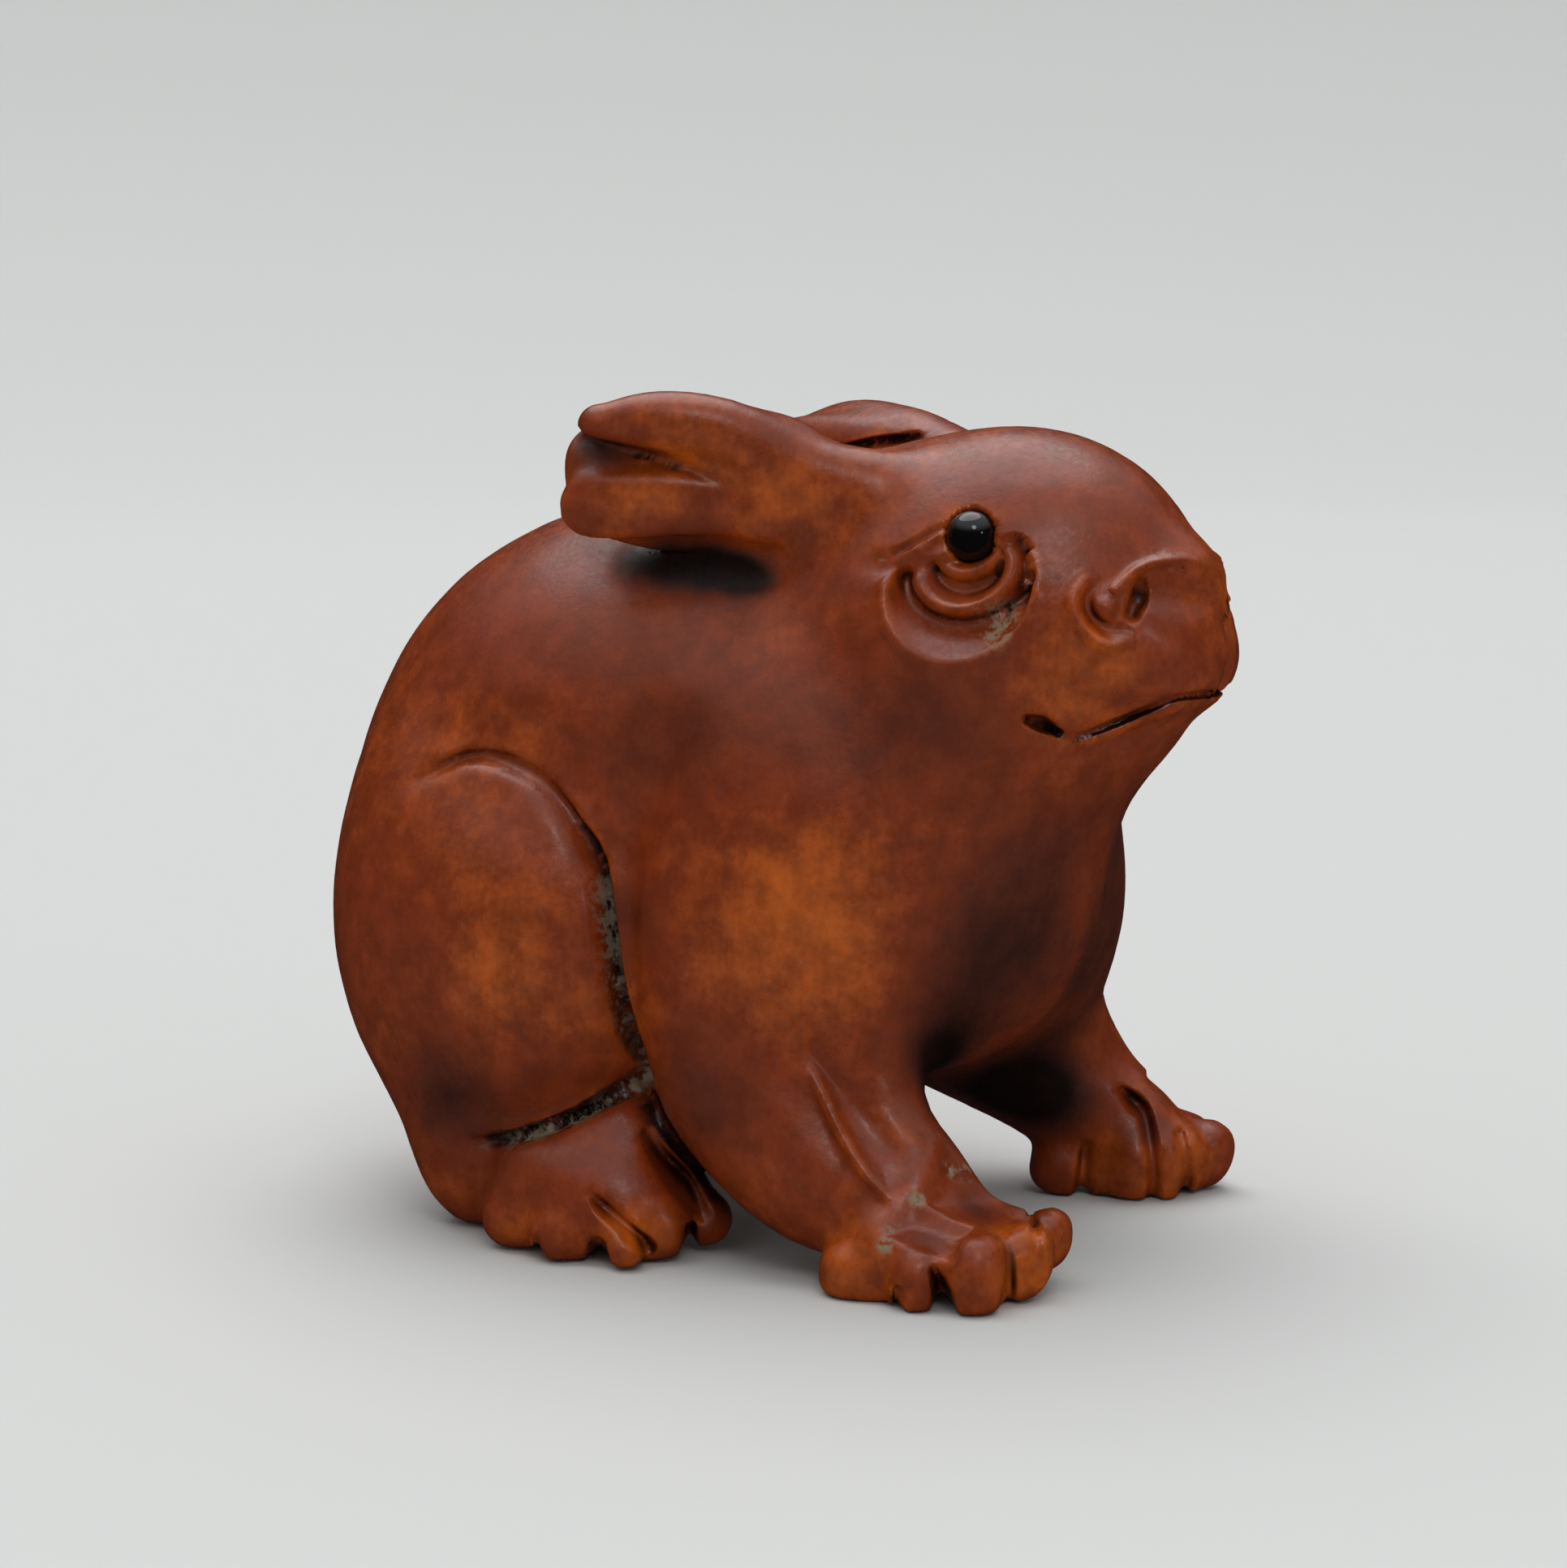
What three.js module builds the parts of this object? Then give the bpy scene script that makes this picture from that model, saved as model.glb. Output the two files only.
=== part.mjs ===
// Crouching rabbit netsuke: one carved boxwood figure with two inlaid bead eyes.
// Millimetres, +Z up, +X toward the nose, +Y the rabbit's left side. It stands on z = 0.
//
// The figure is described as a clay-like solid: rounded masses joined with soft blends, then
// carved with grooves. The two sides mirror each other in |y|, except the forelegs and paws,
// which the carver set differently. A station is [x, y, z, radius], a groove point is
// [x, z, half width, depth] in side view.
import * as THREE from "three";

// Driving dimensions
const BEAD_RADIUS = 1.1;
const BEAD_GAP = 0.3;
const BEAD_CENTRE = [10.35, 5.9, 31.2];
const SOCKET = { x: 10.45, z: 28.75, rim: 2.9, slope: 0.9, depth: 0.8 };
const LID = { x: 10.4, z: 29.5, ring: 1.5, width: 0.9, height: 0.55 };
const EAR_ROOT = { x: 4.3, y: 5.0 };
const EAR_SPLAY = 26.5;
const FAR_EAR_DROP = 0.4;
const RIDGE_WIDTH = 1.6;
const BED_CENTRE = { x: -1.4, y: 0 };

// Width over which two forms round into each other
const BLEND = {
  trunk: 5, chest: 4, shoulder: 3.5, farShoulder: 3, head: 3, muzzle: 2.2, nosePad: 1.4, jaw: 1.2,
  thigh: 4, haunch: [1.0, 6], foot: [1.0, 5], toes: 0.9, foreleg: 2.5, wrist: 1.2, pawPad: 0.5,
  fingers: 0.3, earLobe: 0.6, earWall: 0.8, earBase: 1.2, ear: 1.0, beadHole: 0.1, sole: 0.3,
};

// Spans over which a form or a carved line fades in: from the mid-plane out, or along X or Z
const EYE_SIDE = [3.2, 4.6];
const NOSTRIL_SIDE = [2.4, 3.6];
const MOUTH_SIDE = [1, 3];
const FLANK_SIDE = [5, 8];
const CREASE_SIDE = [8, 10];
const UNDER_BROW = [LID.z + 1.7, LID.z + 0.5];
const FOOT_REAR = [-9, -13];
const HAUNCH_REAR = [-10, -18];
const FACE_START = { x: 4, z: 21 };
const LIP_FRONT = 15;

// Grid that the surface is drawn on, how points settle on it, and how far it is thinned out
const GRID = { x: [-24.2, 21.8], y: [-16.4, 16.4], z: [-1.2, 39.6], step: 0.8 };
const SETTLE = { passes: 4, step: 0.02, flattest: 0.25, reach: 0.4, floor: 0.06 };
const THINNING = { faces: 9600, error: 1e-5, growth: 1.6, turn: 0.5, width: 0.15 };

const RAD = Math.PI / 180;
const FAR_AWAY = 1e3;

const clamp = (v, low, high) => Math.min(high, Math.max(low, v));
const mix = (a, b, t) => a + (b - a) * t;
const ramp = (span, v) => {
  const t = clamp((v - span[0]) / (span[1] - span[0]), 0, 1);
  return t * t * (3 - 2 * t);
};
const bump = (v, halfWidth) => {
  const t = Math.min(Math.abs(v) / halfWidth, 1);
  return (1 - t * t) ** 2;
};
const minus = (a, b) => [a[0] - b[0], a[1] - b[1], a[2] - b[2]];
const dot = (a, b) => a[0] * b[0] + a[1] * b[1] + a[2] * b[2];
const cross = (a, b) => [a[1] * b[2] - a[2] * b[1], a[2] * b[0] - a[0] * b[2], a[0] * b[1] - a[1] * b[0]];

// Union of two distances, rounded over the blend width
const join = (a, b, blend) => {
  const h = Math.max(blend - Math.abs(a - b), 0) / blend;
  return Math.min(a, b) - h * h * blend * 0.25;
};
const joinAll = (shapes, blend, x, y, z) =>
  shapes.reduce((d, shape) => join(d, shape(x, y, z), blend), FAR_AWAY);
const overlap = (a, b, blend) => -join(-a, -b, blend);

// Rounded mass: an ellipsoid turned by yaw about Z, pitch (+X end up) and roll about X
function mass([cx, cy, cz], [rx, ry, rz], [yaw, pitch, roll] = [0, 0, 0]) {
  const turn = new THREE.Euler(roll * RAD, -pitch * RAD, yaw * RAD, "ZYX");
  const m = new THREE.Matrix4().makeRotationFromEuler(turn).elements;
  return (x, y, z) => {
    const dx = x - cx;
    const dy = y - cy;
    const dz = z - cz;
    const a = (m[0] * dx + m[1] * dy + m[2] * dz) / rx;
    const b = (m[4] * dx + m[5] * dy + m[6] * dz) / ry;
    const c = (m[8] * dx + m[9] * dy + m[10] * dz) / rz;
    const reach = Math.sqrt(a * a + b * b + c * c);
    const slope = Math.sqrt((a / rx) ** 2 + (b / ry) ** 2 + (c / rz) ** 2);
    return slope === 0 ? -Math.min(rx, ry, rz) : (reach * (reach - 1)) / slope;
  };
}

// Points on a smooth run through the stations, four to a span
function smoothRun(stations, steps = 4) {
  if (stations.length < 3) return stations;
  const at = (i, c) => stations[clamp(i, 0, stations.length - 1)][c];
  const run = [];
  for (let i = 0; i < stations.length - 1; i++) {
    for (let j = 0; j < steps; j++) {
      const t = j / steps;
      run.push(stations[0].map((_, c) => {
        const [p, q, r, s] = [at(i - 1, c), at(i, c), at(i + 1, c), at(i + 2, c)];
        const bend = (2 * p - 5 * q + 4 * r - s) * t * t + (3 * q - p - 3 * r + s) * t ** 3;
        return 0.5 * (2 * q + (r - p) * t + bend);
      }));
    }
  }
  run.push(stations[stations.length - 1]);
  return run;
}

// Rounded limb along its stations. Its radius follows the distance along the straight chord
// from the first station to the last, so the taper stays smooth round a bend.
function limb(stations) {
  const run = smoothRun(stations);
  const first = run[0];
  const chord = minus(run[run.length - 1], first);
  const length = Math.hypot(...chord);
  const marks = run.map((p) => [dot(minus(p, first), chord) / length, p[3]]);
  const spans = run.slice(1).map((b, i) => {
    const d = minus(b, run[i]);
    return { a: run[i], d, square: dot(d, d) };
  });
  return (x, y, z) => {
    let nearest = FAR_AWAY ** 2;
    for (const { a, d, square } of spans) {
      const px = x - a[0];
      const py = y - a[1];
      const pz = z - a[2];
      const t = clamp((px * d[0] + py * d[1] + pz * d[2]) / square, 0, 1);
      nearest = Math.min(nearest, (px - t * d[0]) ** 2 + (py - t * d[1]) ** 2 + (pz - t * d[2]) ** 2);
    }
    const u = ((x - first[0]) * chord[0] + (y - first[1]) * chord[1] + (z - first[2]) * chord[2]) / length;
    let i = 1;
    while (i < marks.length - 1 && marks[i][0] < u) i++;
    const [u0, r0] = marks[i - 1];
    const [u1, r1] = marks[i];
    return Math.sqrt(nearest) - mix(r0, r1, clamp((u - u0) / (u1 - u0), 0, 1));
  };
}

// Groove carved square to the side of the figure: its depth at (a, b) in that view
function groove(points) {
  const run = smoothRun(points);
  return (a, b) => {
    let nearest = FAR_AWAY;
    let depth = 0;
    for (let i = 1; i < run.length; i++) {
      const [pa, pb, pw, pd] = run[i - 1];
      const [qa, qb, qw, qd] = run[i];
      const da = qa - pa;
      const db = qb - pb;
      const t = clamp(((a - pa) * da + (b - pb) * db) / (da * da + db * db), 0, 1);
      const away = Math.sqrt((a - pa - t * da) ** 2 + (b - pb - t * db) ** 2);
      if (away < nearest) {
        nearest = away;
        depth = mix(pd, qd, t) * bump(away, mix(pw, qw, t));
      }
    }
    return depth;
  };
}

// Body masses
const rump = mass([-9.2, 0, 17.6], [13.5, 11.6, 14.2], [0, 8, 0]);
const trunk = mass([-1.5, 0, 20.0], [13.5, 9.4, 11.8], [0, -4, 0]);
const chest = mass([5.8, 0, 16.2], [7.4, 8.4, 8.8]);
const neck = mass([6.0, 0, 24.5], [8.5, 7.4, 8.5]);
const shoulder = mass([2.4, 6.4, 15.6], [6.4, 5.2, 9.4], [0, 6, 0]);
const farShoulder = mass([5.2, 6.4, 14.6], [6.6, 4.9, 8.0]);

// Head
const skull = mass([8.2, 0, 29.2], [8.2, 6.5, 6.0], [0, -8, 0]);
const brow = mass([11.9, 0, 29.5], [6.3, 5.4, 5.3], [0, -30, 0]);
const muzzle = mass([14.4, 0, 26.6], [5.2, 5.3, 3.7], [0, -14, 0]);
const nosePad = limb([[17.0, 0, 28.8, 2.2], [18.0, 0, 26.6, 1.7], [18.3, 0, 25.6, 1.3]]);
const jaw = mass([11.9, 0, 22.9], [5.3, 4.6, 2.7], [0, 4, 0]);
const cheek = mass([9.5, 3.8, 25.6], [5.5, 3.9, 4.8]);

// Forelegs: near then far. The far one stands further forward.
const forelegs = [
  limb([[0.9, 6.9, 13.0, 5.0], [1.5, 7.8, 8.6, 4.7], [3.7, 8.9, 5.4, 3.8], [6.3, 9.4, 3.4, 3.0],
    [9.6, 9.3, 2.9, 2.3]]),
  limb([[5.2, 7.2, 12.5, 5.0], [5.6, 8.8, 8.0, 4.6], [7.6, 10.0, 5.2, 3.5], [9.4, 10.5, 3.6, 2.8],
    [11.4, 10.8, 2.6, 2.2]]),
];
const pawPads = [
  mass([10.4, 9.1, 1.7], [3.7, 3.2, 2.2], [-10, -10, 0]),
  mass([11.2, 11.2, 1.7], [2.9, 2.9, 2.1], [8, -8, 0]),
];
const wrists = [[7.4, 8.8, 3.2, 1.7], [8.8, 10.6, 3.2, 1.7]];
const fingerTips = [
  [[7.4, 11.7, 1.5, 1.5], [10.9, 12.7, 1.1, 1.1], [13.8, 11.8, 1.3, 1.45], [14.3, 8.2, 1.9, 1.35],
    [13.9, 5.9, 2.0, 1.15]],
  [[8.2, 8.3, 1.3, 1.5], [11.2, 9.4, 1.3, 1.3], [13.3, 10.2, 1.3, 1.3], [14.4, 11.8, 1.7, 1.3],
    [13.6, 13.4, 1.5, 1.1]],
];
const fingers = fingerTips.map((tips, side) => tips.map((tip) => limb([wrists[side], tip])));

// Hind legs
const haunch = mass([-11.4, 7.2, 11.8], [8.2, 6.4, 9.6], [0, 0, -6]);
const thigh = mass([-8.8, 7.2, 13.2], [5.8, 5.7, 7.4], [0, -14, 0]);
const foot = limb([[-11.8, 8.4, 2.6, 2.8], [-7.5, 9.2, 3.0, 3.2], [-4.8, 9.2, 3.6, 3.2]]);
const toeRoot = [-5.4, 9.2, 4.4, 1.9];
const toeTips = [[-8.6, 12.2, 1.3, 1.4], [-5.4, 13.3, 1.1, 1.25], [-2.5, 13.0, 0.9, 0.95],
  [-1.6, 10.8, 1.2, 1.2], [-1.0, 8.4, 1.3, 1.2]];
const toes = toeTips.map((tip) => limb([toeRoot, tip]));

// Ears, laid back along the neck: a rolled upper lip over a lobe, with a thin back wall. A
// place on one is its distance along the ear, its distance out from it, and its height.
const earYaw = 180 - EAR_SPLAY;
const earAt = (along, out, z) => [
  EAR_ROOT.x + along * Math.cos(earYaw * RAD) + out * Math.sin(earYaw * RAD),
  EAR_ROOT.y + along * Math.sin(earYaw * RAD) - out * Math.cos(earYaw * RAD),
  z,
];
const earLimb = (stations) => limb(stations.map(([along, out, z, r]) => [...earAt(along, out, z), r]));
const earLip = earLimb([[-2.5, -0.8, 32.4, 2.1], [2.0, -0.2, 33.6, 1.75], [5.6, 0.3, 35.5, 1.45],
  [8.6, 0.4, 36.0, 1.3], [10.9, 0.3, 35.7, 0.9]]);
const earLobe = mass(earAt(7.5, -0.3, 32.6), [5.0, 1.3, 2.45], [earYaw, -3, 12]);
const earWall = mass(earAt(6.5, -0.6, 33.9), [5.5, 1.0, 2.6], [earYaw, 0, 6]);
const earBase = earLimb([[-1.0, -1.2, 31.4, 2.2], [3.5, -0.6, 31.9, 1.9]]);

// Carved lines
const haunchLine = groove([[-13.5, 20.2, 0.9, 0.05], [-11.0, 21.4, 1.0, 0.4], [-7.8, 20.6, 1.1, 0.6],
  [-5.2, 17.8, 1.2, 0.8], [-4.2, 14.6, 1.2, 0.9], [-3.7, 10.0, 1.2, 0.9], [-3.2, 7.6, 1.0, 0.8]]);
const flankHollow = groove([[-0.8, 24.5, 2.6, 0], [-2.2, 21.2, 3.0, 0.6], [-3.8, 18.0, 2.6, 1.0],
  [-4.1, 14.0, 1.8, 0.8], [-3.9, 9.0, 1.4, 0.8]]);
const footLine = groove([[-11.4, 4.3, 0.8, 0.1], [-9.0, 4.7, 1.0, 0.6], [-6.0, 5.9, 1.1, 0.8],
  [-3.0, 8.0, 1.1, 0.8]]);
const lidLine = groove([[5.9, 30.7, 0.6, 0.1], [7.4, 30.5, 0.7, 0.4], [9.0, 31.3, 0.7, 0.4]]);
const mouthLine = groove([[12.6, 23.9, 0.75, 0.9], [13.8, 23.2, 0.75, 0.7], [15.4, 23.1, 0.7, 0.55],
  [16.8, 23.6, 0.7, 0.6], [18.0, 24.0, 0.75, 0.9], [20.0, 23.8, 0.8, 0.9]]);
const nostrilRim = groove([[15.3, 29.4, 0.7, 0.25], [14.9, 28.5, 0.7, 0.45], [15.6, 27.3, 0.7, 0.5],
  [17.0, 26.9, 0.6, 0.2]]);
const nostrilHole = groove([[16.6, 29.0, 0.7, 0.6], [17.1, 28.5, 0.8, 1.0], [17.0, 28.0, 0.7, 0.7]]);

// Depth carved into the face: the eye's dish and lid roll, the mouth and the nostrils
function faceCarving(x, s, z) {
  const fromSocket = Math.hypot(x - SOCKET.x, z - SOCKET.z);
  const dish = SOCKET.depth * ramp([SOCKET.rim, SOCKET.rim - SOCKET.slope], fromSocket);
  const lidRoll = LID.height * bump(Math.hypot(x - LID.x, z - LID.z) - LID.ring, LID.width);
  const eye = ramp(UNDER_BROW, z) * Math.max(dish - lidRoll, 0) + lidLine(x, z);
  const nostril = nostrilRim(x, z) + nostrilHole(x, z);
  const mouth = mouthLine(x, z) * ramp(MOUTH_SIDE, s + Math.max(0, x - LIP_FRONT));
  return ramp(EYE_SIDE, s) * eye + ramp(NOSTRIL_SIDE, s) * nostril + mouth;
}

function headShape(x, s, z) {
  let head = join(skull(x, s, z), brow(x, s, z), BLEND.head);
  head = join(head, muzzle(x, s, z), BLEND.muzzle);
  head = join(head, nosePad(x, s, z), BLEND.nosePad);
  head = join(head, jaw(x, s, z), BLEND.jaw);
  return join(head, cheek(x, s, z), BLEND.head);
}

function foreleg(x, s, z, side) {
  const spread = joinAll(fingers[side], BLEND.fingers, x, s, z);
  const paw = join(spread, pawPads[side](x, s, z), BLEND.pawPad);
  return join(forelegs[side](x, s, z), paw, BLEND.wrist);
}

// The haunches run smoothly round the rump, but stand proud of the flank in front of them.
function hindLeg(x, s, z) {
  const out = Math.hypot(s, RIDGE_WIDTH);
  let leg = join(haunch(x, out, z), thigh(x, out, z), BLEND.thigh);
  leg = join(leg, foot(x, s, z), mix(...BLEND.foot, ramp(FOOT_REAR, x)));
  return join(leg, joinAll(toes, BLEND.fingers, x, s, z), BLEND.toes);
}

function earShape(x, s, z) {
  let ear = join(earLip(x, s, z), earLobe(x, s, z), BLEND.earLobe);
  ear = join(ear, earWall(x, s, z), BLEND.earWall);
  return join(ear, earBase(x, s, z), BLEND.earBase);
}

// Signed distance to the carved wood, negative inside
function carving(x, y, z) {
  const s = Math.abs(y);
  const side = y > 0 ? 1 : 0;
  let d = join(rump(x, s, z), trunk(x, s, z), BLEND.trunk);
  d = join(d, chest(x, s, z), BLEND.chest);
  d = join(d, neck(x, s, z), BLEND.chest);
  d = join(d, headShape(x, s, z), BLEND.head);
  d = join(d, shoulder(x, s, z), BLEND.shoulder);
  if (side === 1) d = join(d, farShoulder(x, s, z), BLEND.farShoulder);
  if (x > FACE_START.x && z > FACE_START.z) d += faceCarving(x, s, z);
  d += ramp(FLANK_SIDE, s) * flankHollow(x, z);
  d = join(d, foreleg(x, s, z, side), BLEND.foreleg);
  d = join(d, hindLeg(x, s, z), mix(...BLEND.haunch, ramp(HAUNCH_REAR, x)));
  d += ramp(CREASE_SIDE, s) * Math.max(haunchLine(x, z), footLine(x, z));
  d = join(d, earShape(x, s, z + side * FAR_EAR_DROP), BLEND.ear);

  const fromBead = Math.hypot(x - BEAD_CENTRE[0], s - BEAD_CENTRE[1], z - BEAD_CENTRE[2]);
  d = overlap(d, BEAD_RADIUS + BEAD_GAP - fromBead, BLEND.beadHole);
  return overlap(d, -z, BLEND.sole);
}

// Grid lines along one axis
function gridLines([from, to]) {
  const count = Math.round((to - from) / GRID.step);
  return Array.from({ length: count + 1 }, (_, i) => mix(from, to, i / count));
}

// Slide a point onto the carved surface, no further than the limit on each axis
function settle(point, limit) {
  const start = [...point];
  const h = SETTLE.step;
  for (let pass = 0; pass < SETTLE.passes; pass++) {
    const [x, y, z] = point;
    const d = carving(x, y, z);
    const slope = [
      (carving(x + h, y, z) - carving(x - h, y, z)) / (2 * h),
      (carving(x, y + h, z) - carving(x, y - h, z)) / (2 * h),
      (carving(x, y, z + h) - carving(x, y, z - h)) / (2 * h),
    ];
    const steep = Math.max(dot(slope, slope), SETTLE.flattest);
    for (let c = 0; c < 3; c++) {
      const moved = point[c] - (d * slope[c]) / steep;
      point[c] = clamp(moved, start[c] - limit[c], start[c] + limit[c]);
    }
  }
  if (Math.abs(point[2]) < SETTLE.floor) point[2] = 0;
  return point;
}

// A grid cell's corners, its edges, and its faces as rings of four corners
const CORNERS = Array.from({ length: 8 }, (_, n) => [n & 1, (n >> 1) & 1, (n >> 2) & 1]);
const RINGS = [0, 1, 2].flatMap((axis) => [0, 1].map((side) => {
  const [p, q] = [(axis + 1) % 3, (axis + 2) % 3];
  return [[0, 0], [1, 0], [1, 1], [0, 1]].map(([a, b]) => (side << axis) | (a << p) | (b << q));
}));
const SLOTS = 3 * CORNERS.length;
const edgeSlot = (m, n) => 3 * Math.min(m, n) + Math.log2(m ^ n);
const EDGES = CORNERS.flatMap((corner, n) => [0, 1, 2]
  .filter((axis) => corner[axis] === 0)
  .map((axis) => ({ from: n, to: n | (1 << axis), axis, slot: 3 * n + axis })));

// The cut edges of a cell, grouped by the sheet of surface that crosses them
function sheetsOf(at) {
  const leader = new Map(EDGES.filter(({ from, to }) => at[from] < 0 !== at[to] < 0)
    .map(({ slot }) => [slot, slot]));
  const find = (slot) => (leader.get(slot) === slot ? slot : find(leader.get(slot)));
  const unite = (a, b) => leader.set(find(a), find(b));
  for (const ring of RINGS) {
    const slots = ring.map((corner, n) => edgeSlot(corner, ring[(n + 1) % 4]));
    const cutHere = slots.filter((slot) => leader.has(slot));
    if (cutHere.length === 2) unite(...cutHere);
    if (cutHere.length === 4) {
      const joined = ring.reduce((sum, corner) => sum + at[corner], 0) < 0;
      ring.forEach((corner, n) => {
        if (at[corner] < 0 !== joined) unite(slots[(n + 3) % 4], slots[n]);
      });
    }
  }
  const sheets = new Map();
  for (const slot of leader.keys()) {
    const sheet = find(slot);
    sheets.set(sheet, [...(sheets.get(sheet) ?? []), slot]);
  }
  return [...sheets.values()];
}

// Closed surface of the carving: one vertex for each sheet of surface in a grid cell, and a
// four-sided face round each grid edge that the surface cuts
function drawSurface() {
  const lines = [gridLines(GRID.x), gridLines(GRID.y), gridLines(GRID.z)];
  const size = lines.map((list) => list.length);
  const index = (i, j, k) => (k * size[1] + j) * size[0] + i;
  const eachCell = (visit) => {
    for (let k = 1; k < size[2] - 1; k++) {
      for (let j = 1; j < size[1] - 1; j++) {
        for (let i = 1; i < size[0] - 1; i++) visit(i, j, k);
      }
    }
  };
  const values = new Float64Array(size[0] * size[1] * size[2]).fill(FAR_AWAY);
  eachCell((i, j, k) => {
    values[index(i, j, k)] = carving(lines[0][i], lines[1][j], lines[2][k]);
  });

  const points = [];
  const pointOf = new Map();
  const addPoint = (base, at, slots) => {
    const sum = [0, 0, 0];
    for (const { from, to, axis, slot } of EDGES) {
      if (!slots.includes(slot)) continue;
      const t = at[from] / (at[from] - at[to]);
      for (let c = 0; c < 3; c++) {
        const low = lines[c][base[c] + CORNERS[from][c]];
        sum[c] += c === axis ? mix(low, lines[c][base[c] + 1], t) : low;
      }
    }
    const limit = base.map((n, c) => SETTLE.reach * (lines[c][n + 1] - lines[c][n]));
    for (const slot of slots) pointOf.set(index(...base) * SLOTS + slot, points.length);
    points.push(settle(sum.map((v) => v / slots.length), limit));
  };
  eachCell((i, j, k) => {
    const at = CORNERS.map(([a, b, c]) => values[index(i + a, j + b, k + c)]);
    for (const slots of sheetsOf(at)) addPoint([i, j, k], at, slots);
  });

  const triangles = [];
  const addFace = ([a, b, c, d]) => {
    const apart = (p, q) => Math.hypot(...minus(points[p], points[q]));
    if (apart(a, c) < apart(b, d)) triangles.push([a, b, c], [a, c, d]);
    else triangles.push([b, c, d], [b, d, a]);
  };
  eachCell((i, j, k) => {
    const here = values[index(i, j, k)] < 0;
    for (let axis = 0; axis < 3; axis++) {
      const step = [0, 1, 2].map((c) => (c === axis ? 1 : 0));
      if (here === values[index(i + step[0], j + step[1], k + step[2])] < 0) continue;
      const [p, q] = [(axis + 1) % 3, (axis + 2) % 3];
      const quad = [[1, 1], [0, 1], [0, 0], [1, 0]].map(([a, b]) => {
        const cell = [i, j, k];
        cell[p] -= a;
        cell[q] -= b;
        return pointOf.get(index(...cell) * SLOTS + 3 * ((a << p) | (b << q)) + axis);
      });
      addFace(here ? quad : quad.reverse());
    }
  });
  return { points, triangles };
}

// Take points out where the surface is flattest, until few enough faces are left. A point
// slides along an edge into its neighbour, so every point that is kept still lies on the
// carving. Each remembers the planes it has stood for, as [normal, offset, area].
function thinOut({ points, triangles }) {
  const around = points.map(() => new Set());
  const planes = points.map(() => []);
  const normalOf = ([a, b, c]) => cross(minus(b, a), minus(c, a));
  triangles.forEach((corners, f) => {
    const spots = corners.map((v) => points[v]);
    const normal = normalOf(spots);
    const size = Math.hypot(...normal);
    const unit = normal.map((n) => n / size);
    for (const v of corners) {
      around[v].add(f);
      planes[v].push([unit, dot(unit, spots[0]), size / 2]);
    }
  });
  const neighbours = (v) => new Set([...around[v]].flatMap((f) => triangles[f]).filter((n) => n !== v));
  const error = (v, spot) => planes[v]
    .reduce((sum, [unit, offset, area]) => sum + area * (dot(unit, spot) - offset) ** 2, 0);
  const keepsShape = (gone, stay) => [...around[gone]].every((f) => {
    if (triangles[f].includes(stay)) return true;
    const moved = triangles[f].map((v) => points[v === gone ? stay : v]);
    const before = normalOf(triangles[f].map((v) => points[v]));
    const after = normalOf(moved);
    const longest = Math.max(...moved.map((p, n) => Math.hypot(...minus(p, moved[(n + 1) % 3]))));
    return dot(before, after) > THINNING.turn * Math.hypot(...before) * Math.hypot(...after)
      && Math.hypot(...after) > THINNING.width * longest * longest;
  });
  const bestNeighbour = (gone, allowed) => {
    const near = neighbours(gone);
    const ranked = [...near].map((stay) => [error(gone, points[stay]), stay])
      .filter(([cost]) => cost < allowed)
      .sort((a, b) => a[0] - b[0]);
    return ranked.find(([, stay]) => {
      const shared = [...neighbours(stay)].filter((v) => near.has(v));
      return shared.length === 2 && keepsShape(gone, stay);
    });
  };
  const slideInto = (gone, stay) => {
    for (const f of around[gone]) {
      if (triangles[f].includes(stay)) {
        for (const v of triangles[f]) if (v !== gone) around[v].delete(f);
        triangles[f] = null;
      } else {
        triangles[f] = triangles[f].map((v) => (v === gone ? stay : v));
        around[stay].add(f);
      }
    }
    around[gone].clear();
    planes[stay].push(...planes[gone]);
  };
  let left = triangles.length;
  for (let allowed = THINNING.error; left > THINNING.faces; allowed *= THINNING.growth) {
    for (let gone = 0; gone < points.length && left > THINNING.faces; gone++) {
      const best = around[gone].size > 0 && bestNeighbour(gone, allowed);
      if (!best) continue;
      slideInto(gone, best[1]);
      left -= 2;
    }
  }
  return { points, triangles: triangles.filter(Boolean) };
}

function carvedGeometry() {
  const { points, triangles } = thinOut(drawSurface());
  const kept = [...new Set(triangles.flat())];
  const place = new Map(kept.map((v, n) => [v, n]));
  const geometry = new THREE.BufferGeometry();
  const position = new THREE.Float32BufferAttribute(kept.flatMap((v) => points[v]), 3);
  geometry.setAttribute("position", position);
  geometry.setIndex(triangles.flat().map((v) => place.get(v)));
  geometry.computeVertexNormals();
  return geometry;
}

const boxwood = new THREE.MeshStandardMaterial({ color: 0x8a3f1c, roughness: 0.42, metalness: 0 });
const blackBead = new THREE.MeshStandardMaterial({ color: 0x0b0a0c, roughness: 0.08, metalness: 0 });

function carvedRabbit() {
  const rabbit = new THREE.Mesh(carvedGeometry(), boxwood);
  rabbit.name = "carved_rabbit";
  return rabbit;
}

function eyeBead(name, side) {
  const bead = new THREE.Mesh(new THREE.SphereGeometry(BEAD_RADIUS, 12, 8), blackBead);
  bead.name = name;
  bead.position.set(BEAD_CENTRE[0], side * BEAD_CENTRE[1], BEAD_CENTRE[2]);
  return bead;
}

const netsuke = new THREE.Group();
netsuke.add(carvedRabbit(), eyeBead("right_eye_bead", -1), eyeBead("left_eye_bead", 1));
netsuke.position.set(-BED_CENTRE.x, -BED_CENTRE.y, 0);

export default netsuke;
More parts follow.
